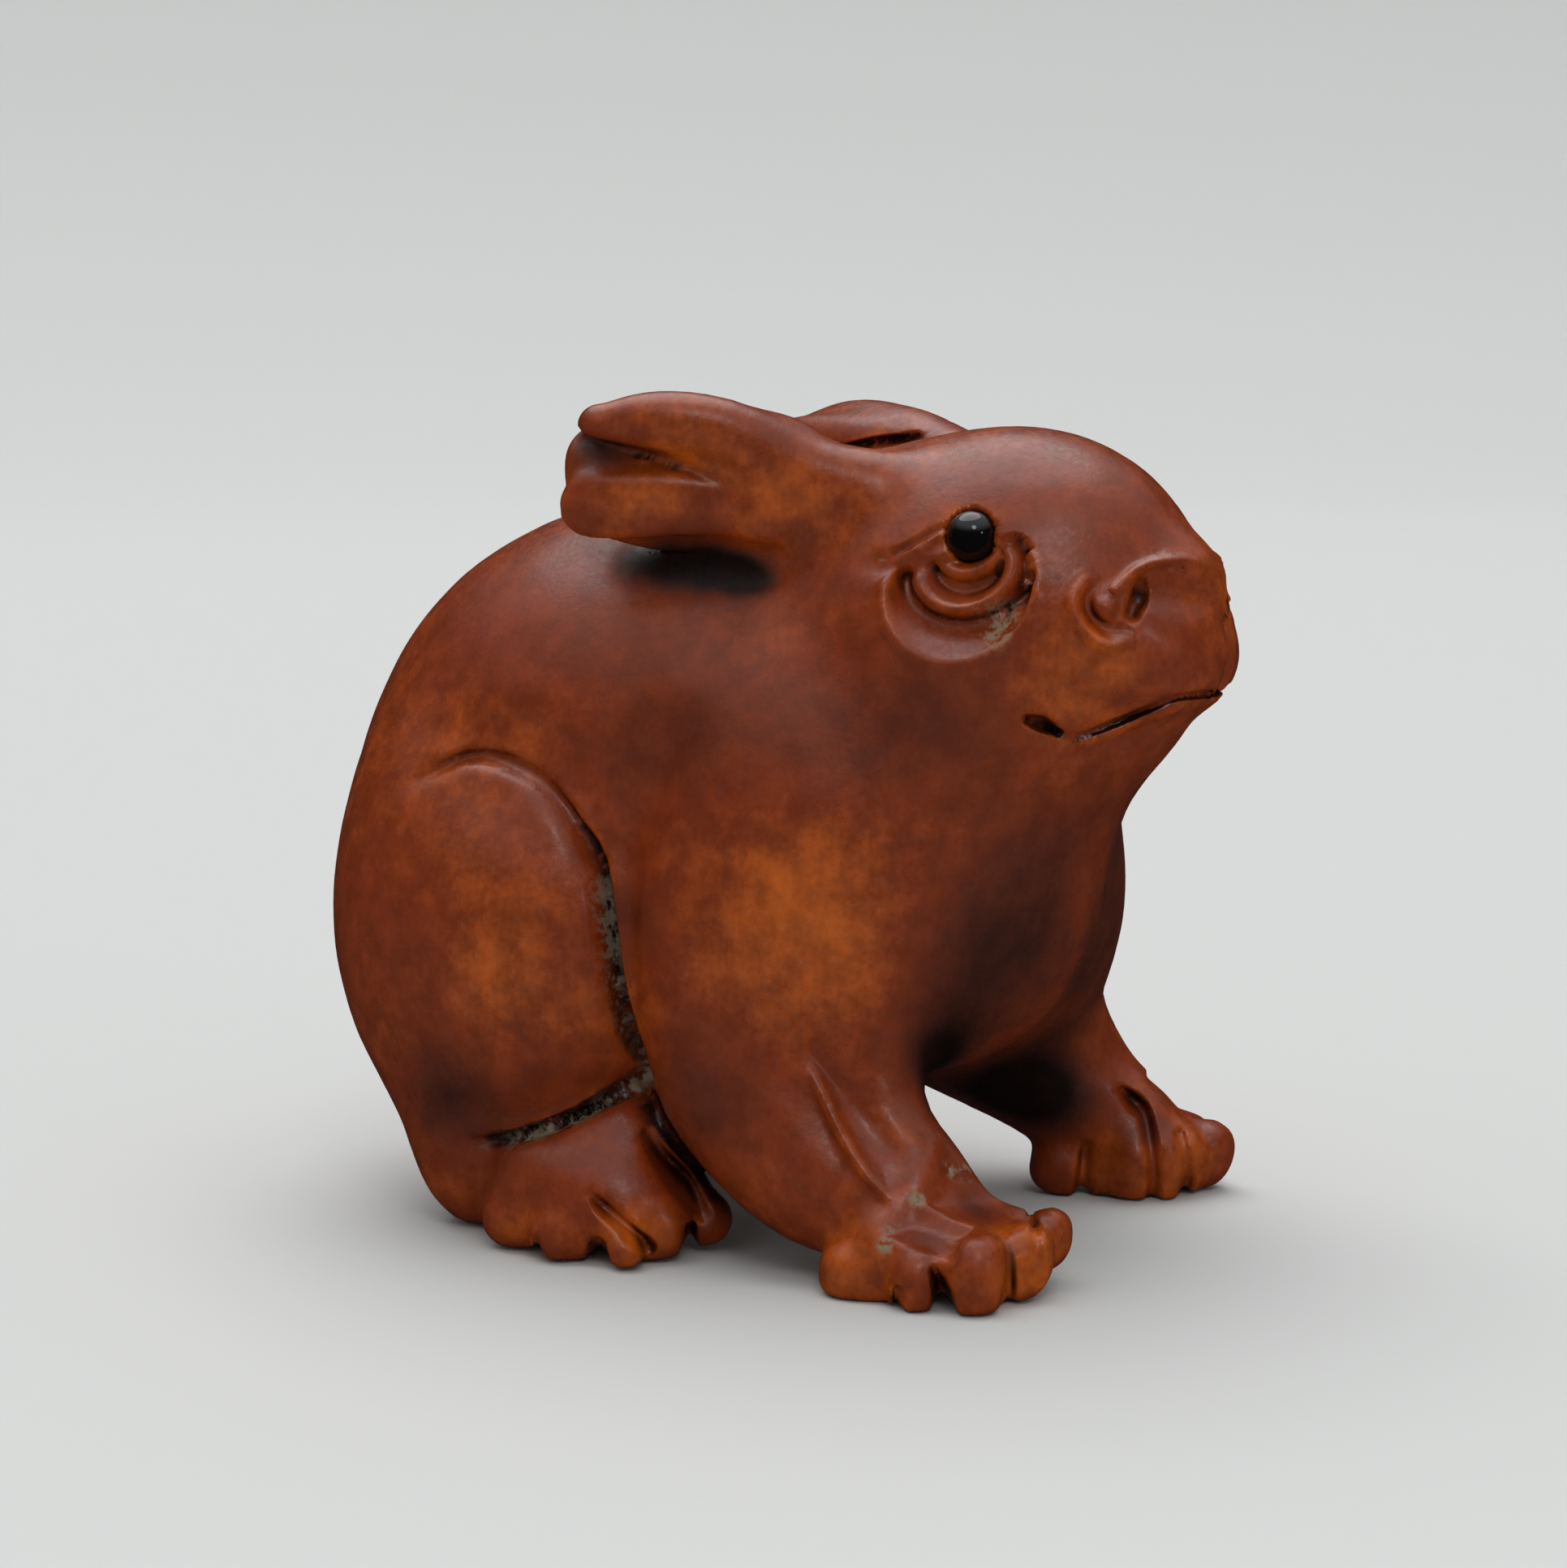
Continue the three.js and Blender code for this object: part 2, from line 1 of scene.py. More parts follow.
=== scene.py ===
"""Crouching rabbit netsuke: the fine carved surface and finish of the boxwood figure, its two
inlaid bead eyes, and the stage. The carving is worked out in millimetres in its own frame, with
the mid-plane at y = 0, and becomes metres in the part's frame when it reaches a mesh."""

import math

import bpy
import numpy as np
from bpy.props import FloatProperty, FloatVectorProperty, PointerProperty
from mathutils import Euler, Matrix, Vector, noise


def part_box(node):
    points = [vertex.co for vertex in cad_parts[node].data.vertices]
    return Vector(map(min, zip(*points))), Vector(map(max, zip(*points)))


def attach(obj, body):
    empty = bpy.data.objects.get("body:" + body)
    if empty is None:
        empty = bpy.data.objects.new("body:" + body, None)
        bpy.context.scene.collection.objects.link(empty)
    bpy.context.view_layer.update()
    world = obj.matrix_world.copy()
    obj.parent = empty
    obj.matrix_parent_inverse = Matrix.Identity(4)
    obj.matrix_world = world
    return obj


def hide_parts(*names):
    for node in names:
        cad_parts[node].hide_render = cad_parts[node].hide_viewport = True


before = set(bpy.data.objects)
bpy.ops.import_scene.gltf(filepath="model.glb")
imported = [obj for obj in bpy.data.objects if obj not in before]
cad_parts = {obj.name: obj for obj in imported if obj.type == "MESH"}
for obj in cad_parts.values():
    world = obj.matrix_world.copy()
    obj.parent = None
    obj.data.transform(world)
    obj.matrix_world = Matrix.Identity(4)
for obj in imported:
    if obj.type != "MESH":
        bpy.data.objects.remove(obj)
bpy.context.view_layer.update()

MM = 0.001
FIGURE_MIDDLE_X = -1.4
FAR_AWAY = 1e3

bl_info = {
    "name": "Rabbit Netsuke",
    "version": (1, 0, 0),
    "blender": (4, 5, 0),
    "location": "View3D > Sidebar > Netsuke",
    "description": "Carves a boxwood rabbit netsuke, sets its bead eyes and stands it on a stage",
    "category": "Add Mesh",
}


def linear(code):
    """Linear colour of an sRGB hex value"""
    channels = [int(code[n:n + 2], 16) / 255 for n in (1, 3, 5)]
    return tuple(c / 12.92 if c <= 0.04045 else ((c + 0.055) / 1.055) ** 2.4 for c in channels)


# Settings

class FigureSettings(bpy.types.PropertyGroup):
    mesh_step: FloatProperty(
        name="Mesh step", description="Side of a face on the plain parts of the figure",
        default=0.6 * MM, min=0.1 * MM, unit="LENGTH")
    tool_mark: FloatProperty(
        name="Tool mark", description="Height of the unevenness that the scraper left",
        default=0.035 * MM, min=0.0, unit="LENGTH")
    tool_width: FloatProperty(
        name="Tool mark width", description="Distance between one scraper mark and the next",
        default=2.2 * MM, min=0.1 * MM, unit="LENGTH")


class FinishSettings(bpy.types.PropertyGroup):
    amber: FloatVectorProperty(
        name="Amber", description="Bare boxwood where handling has worn the stain thin",
        default=linear("#bd580f"), subtype="COLOR", size=3)
    stain: FloatVectorProperty(
        name="Stain", description="Red-brown stain over most of the figure",
        default=linear("#85330e"), subtype="COLOR", size=3)
    # Laid as painted shade too: in the hollows, and as the shadows under the ears, head and belly.
    deep_stain_and_shade: FloatVectorProperty(
        name="Deep stain", description="Stain and old wax that gathered in the hollows",
        default=linear("#220803"), subtype="COLOR", size=3)
    grime: FloatVectorProperty(
        name="Grime", description="Pale grey-brown dust packed into the seams",
        default=linear("#8f8068"), subtype="COLOR", size=3)
    grain_width: FloatProperty(
        name="Grain width", description="Distance between the fine streaks of the boxwood",
        default=0.22 * MM, min=0.01 * MM, unit="LENGTH")
    roughness: FloatProperty(
        name="Roughness", description="Roughness of the hand-polished wood",
        default=0.33, min=0.0, max=1.0, subtype="FACTOR")


class EyeSettings(bpy.types.PropertyGroup):
    bead_colour: FloatVectorProperty(
        name="Bead colour", description="Body colour of the polished black bead",
        default=linear("#0b0a0c"), subtype="COLOR", size=3)


class StageSettings(bpy.types.PropertyGroup):
    floor_colour: FloatVectorProperty(
        name="Floor colour", description="Plain pale grey paper",
        default=linear("#d2d3d1"), subtype="COLOR", size=3)
    floor_radius: FloatProperty(
        name="Floor radius", description="Flat part of the floor, before it sweeps up",
        default=1.1, min=0.1, unit="LENGTH")
    wall_height: FloatProperty(
        name="Wall height", description="Height of the swept-up rim of the floor",
        default=1.6, min=0.1, unit="LENGTH")


# Shapes of the carving, each a function of an (n, 3) array of points

def ramp(low, high, v):
    """Smooth rise from 0 at the low value to 1 at the high one"""
    t = np.clip((v - low) / (high - low), 0, 1)
    return t * t * (3 - 2 * t)


def bump(v, half_width):
    """Rounded peak of height 1 at zero, which ends at the half width"""
    t = np.minimum(np.abs(v) / half_width, 1)
    return (1 - t * t) ** 2


def mix(a, b, t):
    return a + (b - a) * t


def join(a, b, blend):
    """Union of two distances, rounded over the blend width"""
    h = np.maximum(blend - np.abs(a - b), 0) / blend
    return np.minimum(a, b) - h * h * blend * 0.25


def overlap(a, b, blend):
    return -join(-a, -b, blend)


def cut_away(a, b, blend):
    """The first distance with the second shape cut out of it"""
    return overlap(a, -b, blend)


def join_all(shapes, blend, p):
    distance = np.full(len(p), FAR_AWAY)
    for shape in shapes:
        distance = join(distance, shape(p), blend)
    return distance


WIDEST_BLEND = 6.5


def nearby(shape, centre, reach):
    """The shape, worked out only for the points that the widest blend with it can reach"""
    centre = np.array(centre, float)

    def distance(p):
        away = np.sqrt(((p - centre) ** 2).sum(1)) - reach
        close = away < WIDEST_BLEND
        away[close] = shape(p[close])
        return away
    return distance


SQUARE_CORNER_REACH = 1.3


def mass(centre, radii, turn=(0, 0, 0), power=2):
    """Ellipsoid turned by yaw about Z, pitch (+X end up) and roll about X. A power above 2
    flattens its sides, as a block cut with a chisel has them."""
    yaw, pitch, roll = np.radians(turn)
    axes = np.array(Euler((roll, -pitch, yaw)).to_matrix())
    radii = np.array(radii, float)

    def distance(p):
        q = np.abs((p - np.array(centre)) @ axes / radii)
        reach = np.maximum((q ** power).sum(1) ** (1 / power), 1e-6)
        slope = np.sqrt(((q ** (power - 1) / radii) ** 2).sum(1)) / reach ** (power - 1)
        return (reach - 1) / np.maximum(slope, 1e-9)
    return nearby(distance, centre, radii.max() * (1.0 if power == 2 else SQUARE_CORNER_REACH))


def smooth_run(stations, steps=4):
    """Points on a smooth run through the stations"""
    stations = np.array(stations, float)
    if len(stations) < 3:
        return stations
    last = len(stations) - 1
    run = []
    for i in range(last):
        p, q, r, s = (stations[min(max(n, 0), last)] for n in (i - 1, i, i + 1, i + 2))
        for t in np.arange(steps) / steps:
            bend = (2 * p - 5 * q + 4 * r - s) * t * t + (3 * q - p - 3 * r + s) * t ** 3
            run.append(0.5 * (2 * q + (r - p) * t + bend))
    return np.array(run + [stations[-1]])


def limb(stations):
    """Rounded limb. Its radius follows the straight chord from the first station to the last."""
    run = smooth_run(stations)
    chord = run[-1, :3] - run[0, :3]
    length = np.sqrt(chord @ chord)
    marks = (run[:, :3] - run[0, :3]) @ chord / length

    def distance(p):
        nearest = np.full(len(p), FAR_AWAY ** 2)
        for a, b in zip(run[:-1, :3], run[1:, :3]):
            d = b - a
            t = np.clip((p - a) @ d / (d @ d), 0, 1)
            nearest = np.minimum(nearest, ((p - a - t[:, None] * d) ** 2).sum(1))
        along = (p - run[0, :3]) @ chord / length
        return np.sqrt(nearest) - np.interp(along, marks, run[:, 3])
    centre = run[:, :3].mean(0)
    spread = np.sqrt(((run[:, :3] - centre) ** 2).sum(1)).max()
    return nearby(distance, centre, spread + run[:, 3].max())


def groove(points):
    """Depth at (x, z) of a groove with stations [x, z, half width, depth]"""
    run = smooth_run(points)

    def depth(x, z):
        nearest = np.full(len(x), FAR_AWAY)
        cut = np.zeros(len(x))
        for (pa, pb, pw, pd), (qa, qb, qw, qd) in zip(run[:-1], run[1:]):
            da, db = qa - pa, qb - pb
            t = np.clip(((x - pa) * da + (z - pb) * db) / (da * da + db * db), 0, 1)
            away = np.hypot(x - pa - t * da, z - pb - t * db)
            here = mix(pd, qd, t) * bump(away, mix(pw, qw, t))
            cut = np.where(away < nearest, here, cut)
            nearest = np.minimum(nearest, away)
        return cut
    return depth


# Body, head and legs

BEAD_RADIUS = 1.1
BEAD_ROOM = 0.02
FOOT_EDGE = 0.3
BEAD_CENTRE = (10.35, 5.9, 31.2)

rump = mass((-9.2, 0, 17.6), (13.5, 11.6, 14.2), (0, 8, 0))
trunk = mass((-1.5, 0, 20.0), (13.5, 9.4, 11.8), (0, -4, 0))
chest = mass((5.8, 0, 16.2), (7.4, 8.4, 8.8))
neck = mass((6.0, 0, 24.5), (8.5, 7.4, 8.5))
shoulder = mass((2.4, 6.4, 15.6), (6.4, 5.2, 9.4), (0, 6, 0))
far_shoulder = mass((5.2, 6.4, 14.6), (6.6, 4.9, 8.0))
skull = mass((8.2, 0, 29.2), (8.2, 6.5, 6.0), (0, -8, 0))
brow = mass((11.9, 0, 29.5), (6.3, 5.4, 5.3), (0, -30, 0))
muzzle = mass((14.4, 0, 26.6), (5.2, 5.3, 3.7), (0, -14, 0))
nose_pad = limb([(17.0, 0, 28.8, 2.2), (17.6, 0, 26.8, 1.6)])
lip_bulge = mass((16.3, 1.8, 25.9), (2.5, 2.1, 1.9))
far_lower_lip = limb([(14.0, 1.8, 22.9, 1.1), (15.3, 1.2, 23.4, 0.9)])
jaw = mass((11.9, 0, 22.9), (5.3, 4.6, 2.7), (0, 4, 0))
cheek = mass((9.5, 3.8, 25.6), (5.5, 3.9, 4.8))

near_foreleg = limb([(0.9, 6.9, 13.0, 5.0), (1.5, 7.8, 8.6, 4.7), (3.7, 8.9, 5.4, 3.8),
                     (6.3, 9.4, 3.4, 3.0), (9.6, 9.3, 2.9, 2.3)])
far_foreleg = limb([(5.2, 7.2, 12.5, 5.0), (5.6, 8.8, 8.0, 4.6), (7.6, 10.0, 5.2, 3.5),
                    (9.4, 10.5, 3.6, 2.8), (11.4, 10.8, 2.6, 2.2)])
near_pad = mass((10.9, 9.5, 1.6), (3.9, 3.4, 2.1), (-10, -8, 0), 3)
near_wrist = limb([(4.6, 7.6, 10.0, 2.6), (6.6, 8.0, 7.0, 2.3), (9.8, 8.4, 3.3, 1.9)])
far_pad = mass((11.4, 11.0, 1.7), (3.0, 3.0, 2.3), (8, -14, 0), 3)


def paw(wrist, blocks):
    """Bones from the wrist to the toes, and the squarish block that each toe ends in"""
    bones = [limb([wrist, (x, s, z, min(radii))]) for (x, s, z), radii, _ in blocks]
    ends = [mass(centre, radii, turn, 2.5) for centre, radii, turn in blocks]
    return bones, ends


near_paw = paw((8.0, 9.2, 2.8, 1.9), (
    ((8.4, 11.6, 0.9), (2.0, 1.7, 1.5), (-20, -8, 0)),
    ((11.1, 12.6, 1.0), (1.05, 1.2, 1.5), (-35, -14, 0)),
    ((13.4, 11.8, 1.4), (1.3, 1.5, 1.8), (-40, -16, 8)),
    ((14.5, 9.4, 1.6), (1.15, 1.3, 1.6), (-20, -16, 0)),
    ((14.7, 7.4, 2.1), (0.9, 1.1, 1.3), (0, -14, 0))))
far_paw = paw((9.6, 10.6, 3.0, 1.8), (
    ((9.0, 8.7, 1.1), (2.0, 1.4, 1.4), (30, -10, 0)),
    ((11.9, 9.2, 1.5), (1.5, 1.4, 1.7), (-30, -20, 0)),
    ((13.4, 10.6, 1.4), (1.3, 1.2, 1.8), (-25, -24, 0)),
    ((14.2, 12.2, 1.6), (1.2, 1.3, 1.7), (-10, -24, 0)),
    ((12.8, 13.4, 1.6), (1.2, 1.0, 1.6), (20, -10, 0))))
haunch = mass((-11.4, 7.2, 11.8), (8.2, 6.4, 9.6), (0, 0, -6))
thigh = mass((-8.8, 7.2, 13.2), (5.8, 5.7, 7.4), (0, -14, 0))
foot = limb([(-11.8, 8.4, 2.6, 2.8), (-7.5, 9.2, 3.0, 3.2), (-4.8, 9.2, 3.6, 3.2)])
instep = mass((-5.6, 10.0, 2.4), (4.6, 3.6, 2.9), (0, -12, 0), 2.5)
toes = [limb([(-5.4, 9.6, 4.0, 2.1), tip]) for tip in (
    (-8.6, 12.0, 1.4, 1.5), (-5.8, 13.0, 1.2, 1.3), (-2.4, 13.1, 0.9, 0.85),
    (-1.7, 11.0, 1.3, 1.15), (-1.0, 8.6, 1.4, 1.2))]

EAR_ROOT = (4.3, 5.0)
NEAR_EAR_YAW, FAR_EAR_YAW = 180 - 26.5, 180 - 21
FAR_EAR_SPLAY = math.tan(math.radians(180 - FAR_EAR_YAW))


def ear_at(along, out, z, yaw):
    """A place on the ear: its distance along it and out from it, and its height"""
    c, s = math.cos(math.radians(yaw)), math.sin(math.radians(yaw))
    return (EAR_ROOT[0] + along * c + out * s, EAR_ROOT[1] + along * s - out * c, z)


def ear_shapes(yaw, lip, drop):
    """The ear's thick lip, its lobe, the wall between them, and its base on the head"""
    def run(stations):
        return limb([(*ear_at(along, out, z, yaw), r) for along, out, z, r in stations])
    lobe = mass(ear_at(7.6, -0.3, 32.5 - drop, yaw), (5.0, 1.3, 2.35), (yaw, -3, 12))
    wall = mass(ear_at(6.6, -1.1, 33.9 - drop, yaw), (5.8, 1.6, 2.7), (yaw, 0, 6), 2.6)
    base = run([(-1.0, -1.2, 31.4, 2.2), (3.5, -0.6, 31.9, 1.9)])
    return run(lip), lobe, wall, base


near_ear = ear_shapes(NEAR_EAR_YAW, [
    (-2.5, -0.8, 32.4, 2.1), (2.0, -0.2, 33.6, 1.75), (5.6, 0.3, 35.5, 1.45), (8.6, 0.4, 35.95, 1.3),
    (10.8, 0.3, 35.75, 0.95)], 0)
far_ear = ear_shapes(FAR_EAR_YAW, [
    (-2.5, -0.8, 32.9, 2.1), (1.8, -0.2, 34.5, 1.8), (5.6, 0.3, 35.35, 1.5), (8.4, 0.4, 35.3, 1.35),
    (10.9, 0.3, 34.8, 1.0)], 0.4)
ear_web = limb([(-5.0, 5.6, 29.0, 1.8), (-1.5, 4.6, 29.8, 2.2), (2.5, 4.0, 30.6, 2.4)])
ear_cave = limb([(-6.6, 9.6, 30.7, 0.4), (-3.6, 8.8, 30.2, 0.9), (-0.8, 8.0, 30.0, 1.05),
                 (1.6, 7.4, 29.9, 0.8)])

# Carved lines. Those of the haunch and the eye are laid out as seen from the side, the others as
# seen from the front quarter, where they face.

QUARTER = math.radians(28)


def quarter_view(x, y):
    """How far to the right a place stands, seen from the front quarter"""
    return x * math.cos(QUARTER) + y * math.sin(QUARTER)


haunch_line = groove([(-14.5, 19.6, 0.5, 0.0), (-13.2, 20.6, 0.5, 0.3), (-11.0, 21.4, 0.55, 0.5),
                      (-7.8, 20.6, 0.6, 0.5), (-5.2, 17.8, 0.55, 0.7), (-4.2, 14.6, 0.5, 0.7),
                      (-3.7, 10.0, 0.5, 0.8), (-3.2, 7.6, 0.6, 0.9)])
haunch_shade = groove([(-13.0, 21.8, 1.4, 0.0), (-10.4, 22.4, 1.8, 0.3), (-7.0, 21.6, 2.0, 0.5),
                       (-5.0, 20.0, 2.0, 0.5), (-4.2, 17.6, 1.4, 0.2)])
flank_hollow = groove([(-0.8, 24.5, 2.6, 0), (-2.2, 21.2, 3.0, 0.6), (-3.8, 18.0, 2.6, 1.0),
                       (-4.1, 14.0, 1.8, 0.8), (-3.9, 9.0, 1.4, 0.8)])
foot_line = groove([(-11.4, 4.3, 0.4, 0.1), (-9.0, 4.7, 0.45, 0.5), (-6.0, 5.9, 0.5, 0.7),
                    (-3.0, 8.0, 0.6, 0.8)])
lid_line = groove([(5.6, 30.6, 0.25, 0.0), (6.2, 30.25, 0.28, 0.12), (7.1, 30.4, 0.3, 0.2),
                   (8.0, 30.85, 0.3, 0.2), (9.1, 31.5, 0.3, 0.15)])
lid_fold = groove([(6.0, 29.9, 0.5, 0.1), (7.2, 29.9, 0.7, 0.22), (8.4, 30.2, 0.8, 0.3),
                   (9.2, 30.8, 0.7, 0.25)])

mouth_pit = groove([(8.6, 23.75, 0.35, 0.5), (9.2, 23.55, 0.45, 1.0), (9.9, 23.2, 0.3, 0.3)])
mouth_line = groove([(9.8, 23.2, 0.25, 0.15), (10.7, 23.0, 0.25, 0.15), (12.6, 23.65, 0.25, 0.16),
                     (14.1, 24.3, 0.25, 0.18), (15.0, 24.6, 0.3, 0.3), (16.4, 24.6, 0.3, 0.3)])
lower_lip_edge = groove([(10.6, 22.6, 0.3, 0.1), (12.0, 23.0, 0.35, 0.2), (13.6, 23.65, 0.35, 0.25),
                         (14.8, 24.0, 0.35, 0.15)])
pad_edge = groove([(12.2, 29.1, 0.35, 0.25), (13.1, 29.9, 0.35, 0.35), (14.2, 30.25, 0.35, 0.28),
                   (15.8, 30.2, 0.35, 0.15), (17.0, 29.5, 0.3, 0.05)])
pad_dish = groove([(13.6, 28.9, 0.9, 0.25), (15.4, 28.8, 1.2, 0.25), (16.6, 28.6, 0.9, 0.2)])
wing_rim = groove([(10.9, 29.5, 0.35, 0.15), (10.4, 28.8, 0.45, 0.3), (10.55, 27.9, 0.5, 0.35),
                   (11.2, 27.1, 0.5, 0.38), (12.0, 26.8, 0.45, 0.35), (12.8, 27.0, 0.35, 0.1)])
wing_line = groove([(11.5, 29.4, 0.3, 0.1), (11.05, 28.8, 0.35, 0.2), (11.15, 28.1, 0.4, 0.25),
                    (11.7, 27.6, 0.4, 0.25), (12.6, 27.5, 0.4, 0.15)])
nostril = groove([(13.3, 29.3, 0.4, 0.3), (13.2, 28.8, 0.55, 0.75), (12.9, 28.1, 0.5, 0.6)])
far_nostril = groove([(16.4, 29.0, 0.5, 0.4), (16.9, 28.3, 0.6, 0.6), (16.7, 27.7, 0.4, 0.3)])

foreleg_ridge = groove([(-0.4, 9.2, 0.4, 0.1), (0.3, 7.8, 0.5, 0.45), (1.0, 6.4, 0.5, 0.5),
                        (1.9, 5.1, 0.5, 0.4), (2.8, 4.2, 0.4, 0.1)])
foreleg_dent = groove([(-0.2, 9.8, 0.8, 0.25), (1.4, 7.6, 1.0, 0.25), (2.9, 5.6, 1.1, 0.3)])
foot_slots = [groove(run) for run in (
    [(-9.7, 3.1, 0.35, 0.2), (-9.2, 2.6, 0.5, 0.6), (-8.3, 1.9, 0.5, 0.45), (-7.3, 0.9, 0.5, 0.3)],
    [(-7.4, 5.3, 0.45, 0.2), (-6.7, 4.2, 0.6, 0.45), (-5.7, 3.0, 0.6, 0.4), (-5.0, 1.8, 0.5, 0.3)],
    [(-9.45, -0.5, 0.8, 1.4), (-9.45, 0.9, 0.6, 0.7)],
    [(-12.0, -0.5, 0.5, 0.7), (-12.1, 1.1, 0.3, 0.2)],
    [(-5.6, -0.5, 0.5, 0.7), (-5.6, 1.4, 0.4, 0.3)])]
paw_slots = [groove(run) for run in (
    [(3.2, -0.4, 0.4, 0.5), (3.2, 0.9, 0.4, 0.3)],
    [(5.0, -0.4, 0.7, 1.2), (5.0, 0.7, 0.6, 0.7), (4.6, 1.7, 0.35, 0.2)],
    [(7.7, -0.4, 0.5, 0.4), (7.6, 1.8, 0.5, 0.25), (7.4, 2.8, 0.4, 0.1)],
    [(9.0, 1.0, 0.4, 0.2), (8.8, 2.9, 0.4, 0.2)])]
far_paw_slots = [groove(run) for run in (
    [(14.2, 5.0, 0.4, 0.3), (14.8, 4.4, 0.6, 0.7), (15.3, 3.7, 0.5, 0.5), (15.6, 1.2, 0.5, 0.4),
     (15.6, -0.4, 0.6, 0.8)],
    [(15.8, 5.3, 0.4, 0.4), (16.7, 4.7, 0.5, 0.6), (17.4, 3.8, 0.45, 0.5)],
    [(16.9, 3.0, 0.4, 0.2), (17.2, 1.0, 0.5, 0.4), (17.1, -0.4, 0.6, 0.8)],
    [(12.6, 2.4, 0.5, 0.3), (12.4, 0.8, 0.6, 0.6), (12.5, -0.4, 0.7, 0.9)])]


def patch(corners, soft):
    """How far each point counts as inside a convex outline in plan, from 1 to 0 over the soft
    edge, with the corners in anticlockwise order"""
    corners = np.array(corners, float)

    def share(x, s):
        outside = np.full(len(x), -FAR_AWAY)
        for a, b in zip(corners, np.roll(corners, -1, 0)):
            edge = (b - a) / np.hypot(*(b - a))
            outside = np.maximum(outside, (x - a[0]) * edge[1] - (s - a[1]) * edge[0])
        return ramp(soft / 2, -soft / 2, outside)
    return share


# Each flat of the near forepaw is cut down to a height at its middle that falls towards the toes.
FACET_FALL, FACET_DEEPEST = 0.2, 0.5
near_facets = (
    (patch([(10.6, 8.6), (14.2, 7.6), (13.9, 10.6), (10.9, 10.9)], 0.9), 12.3, 3.1),
    (patch([(9.6, 12.8), (10.4, 11.4), (13.0, 11.3), (12.9, 12.8)], 0.7), 11.5, 2.3))

EYE_X, EYE_Z = BEAD_CENTRE[0], BEAD_CENTRE[2]
POUCH_Z, POUCH_RADII, POUCH_MEAN = 29.9, (1.95, 1.6), 1.75
DISH_Z, DISH_RADII, DISH_MEAN = 29.0, (3.15, 3.0), 3.0
DISH_DEPTH, POUCH_HEIGHT, LID_HEIGHT = 0.95, 0.7, 0.4
EYE_LUMPS = ((11.9, 30.6, 0.45, 0.5), (12.45, 30.0, 0.4, 0.4), (12.9, 29.3, 0.45, 0.35),
             (12.6, 28.1, 0.5, 0.3), (11.9, 28.0, 0.4, 0.2))


def outside_ring(x, z, middle_z, radii, mean):
    """Distance outside an ellipse below the eye, counted by its mean radius"""
    return (np.hypot((x - EYE_X) / radii[0], (z - middle_z) / radii[1]) - 1) * mean


def eye_carving(x, z):
    """Depth of the dish round the eye, less the pouch, the lid's edge and the lumps left in it"""
    roll = outside_ring(x, z, POUCH_Z, POUCH_RADII, POUCH_MEAN)
    within = -outside_ring(x, z, DISH_Z, DISH_RADII, DISH_MEAN)
    inside = np.maximum(within, 0)
    beyond = np.maximum(roll - 0.75, 0)
    dish = DISH_DEPTH * ramp(0, 1, inside / (inside + beyond + 1e-6))
    raised = POUCH_HEIGHT * bump(roll, 0.7)
    from_bead = np.hypot(x - EYE_X, z - EYE_Z)
    lid = LID_HEIGHT * ramp(2.3, 1.2, from_bead) + 0.25 * bump(from_bead - 1.5, 0.45)
    raised = np.maximum(raised, lid)
    for lump_x, lump_z, radius, height in EYE_LUMPS:
        raised = np.maximum(raised, height * bump(np.hypot(x - lump_x, z - lump_z), radius))
    brow_line = 30.5 + 0.3 * (x - EYE_X)
    under_brow = ramp(brow_line + 0.4, brow_line - 0.3, z)
    rim = 0.16 * bump(within, 0.5) * ramp(30.0, 29.0, z)
    return under_brow * np.maximum(dish - raised, 0) * (inside > 0) - rim


def nose_and_mouth(x, s, z):
    """Depth of the nostril, the mouth and the lines round them, less the rims left between"""
    a = quarter_view(x, -s)
    raised = pad_edge(a, z) + wing_rim(a, z) + 0.35 * bump(np.hypot(a - 11.8, z - 28.4), 0.65)
    depth = nostril(a, z) + wing_line(a, z) + pad_dish(a, z) - raised
    lips = mouth_pit(a, z) + mouth_line(a, z) - lower_lip_edge(a, z)
    philtrum = 0.35 * bump(s, 0.5) * ramp(24.0, 24.8, z) * ramp(28.2, 27.4, z)
    lip_share = np.maximum(ramp(0, 1.2, s), ramp(14.4, 15.2, a))
    return depth * ramp(0.4, 1.4, s) + lips * lip_share + philtrum


def head_shape(q):
    head = join(skull(q), brow(q), 3)
    head = join(head, muzzle(q), 2.2)
    head = join(head, nose_pad(q), 1.4)
    head = join(head, lip_bulge(q), 1.0)
    head = join(head, jaw(q), 1.2)
    return join(head, cheek(q), 3)


def foreleg_shape(q, leg, pad, bones_and_ends):
    bones, ends = bones_and_ends
    fan = join(join_all(bones, 0.8, q), join_all(ends, 0.35, q), 0.4)
    return join(leg(q), join(fan, pad(q), 0.5), 1.0)


FAR_FOOT_BACK = 2.4


def hind_leg_shape(q, near):
    """Haunch, thigh and foot, with the far foot set further back"""
    rounded = np.column_stack((q[:, 0], np.hypot(q[:, 1], 1.6), q[:, 2]))
    leg = join(haunch(rounded), thigh(rounded), 4)
    q = q + np.outer(~near, (FAR_FOOT_BACK, 0, 0))
    leg = join(leg, foot(q), mix(1.0, 5, ramp(-9, -13, q[:, 0])))
    leg = join(leg, instep(q), 0.8)
    return join(leg, join_all(toes, 0.4, q), 0.8)


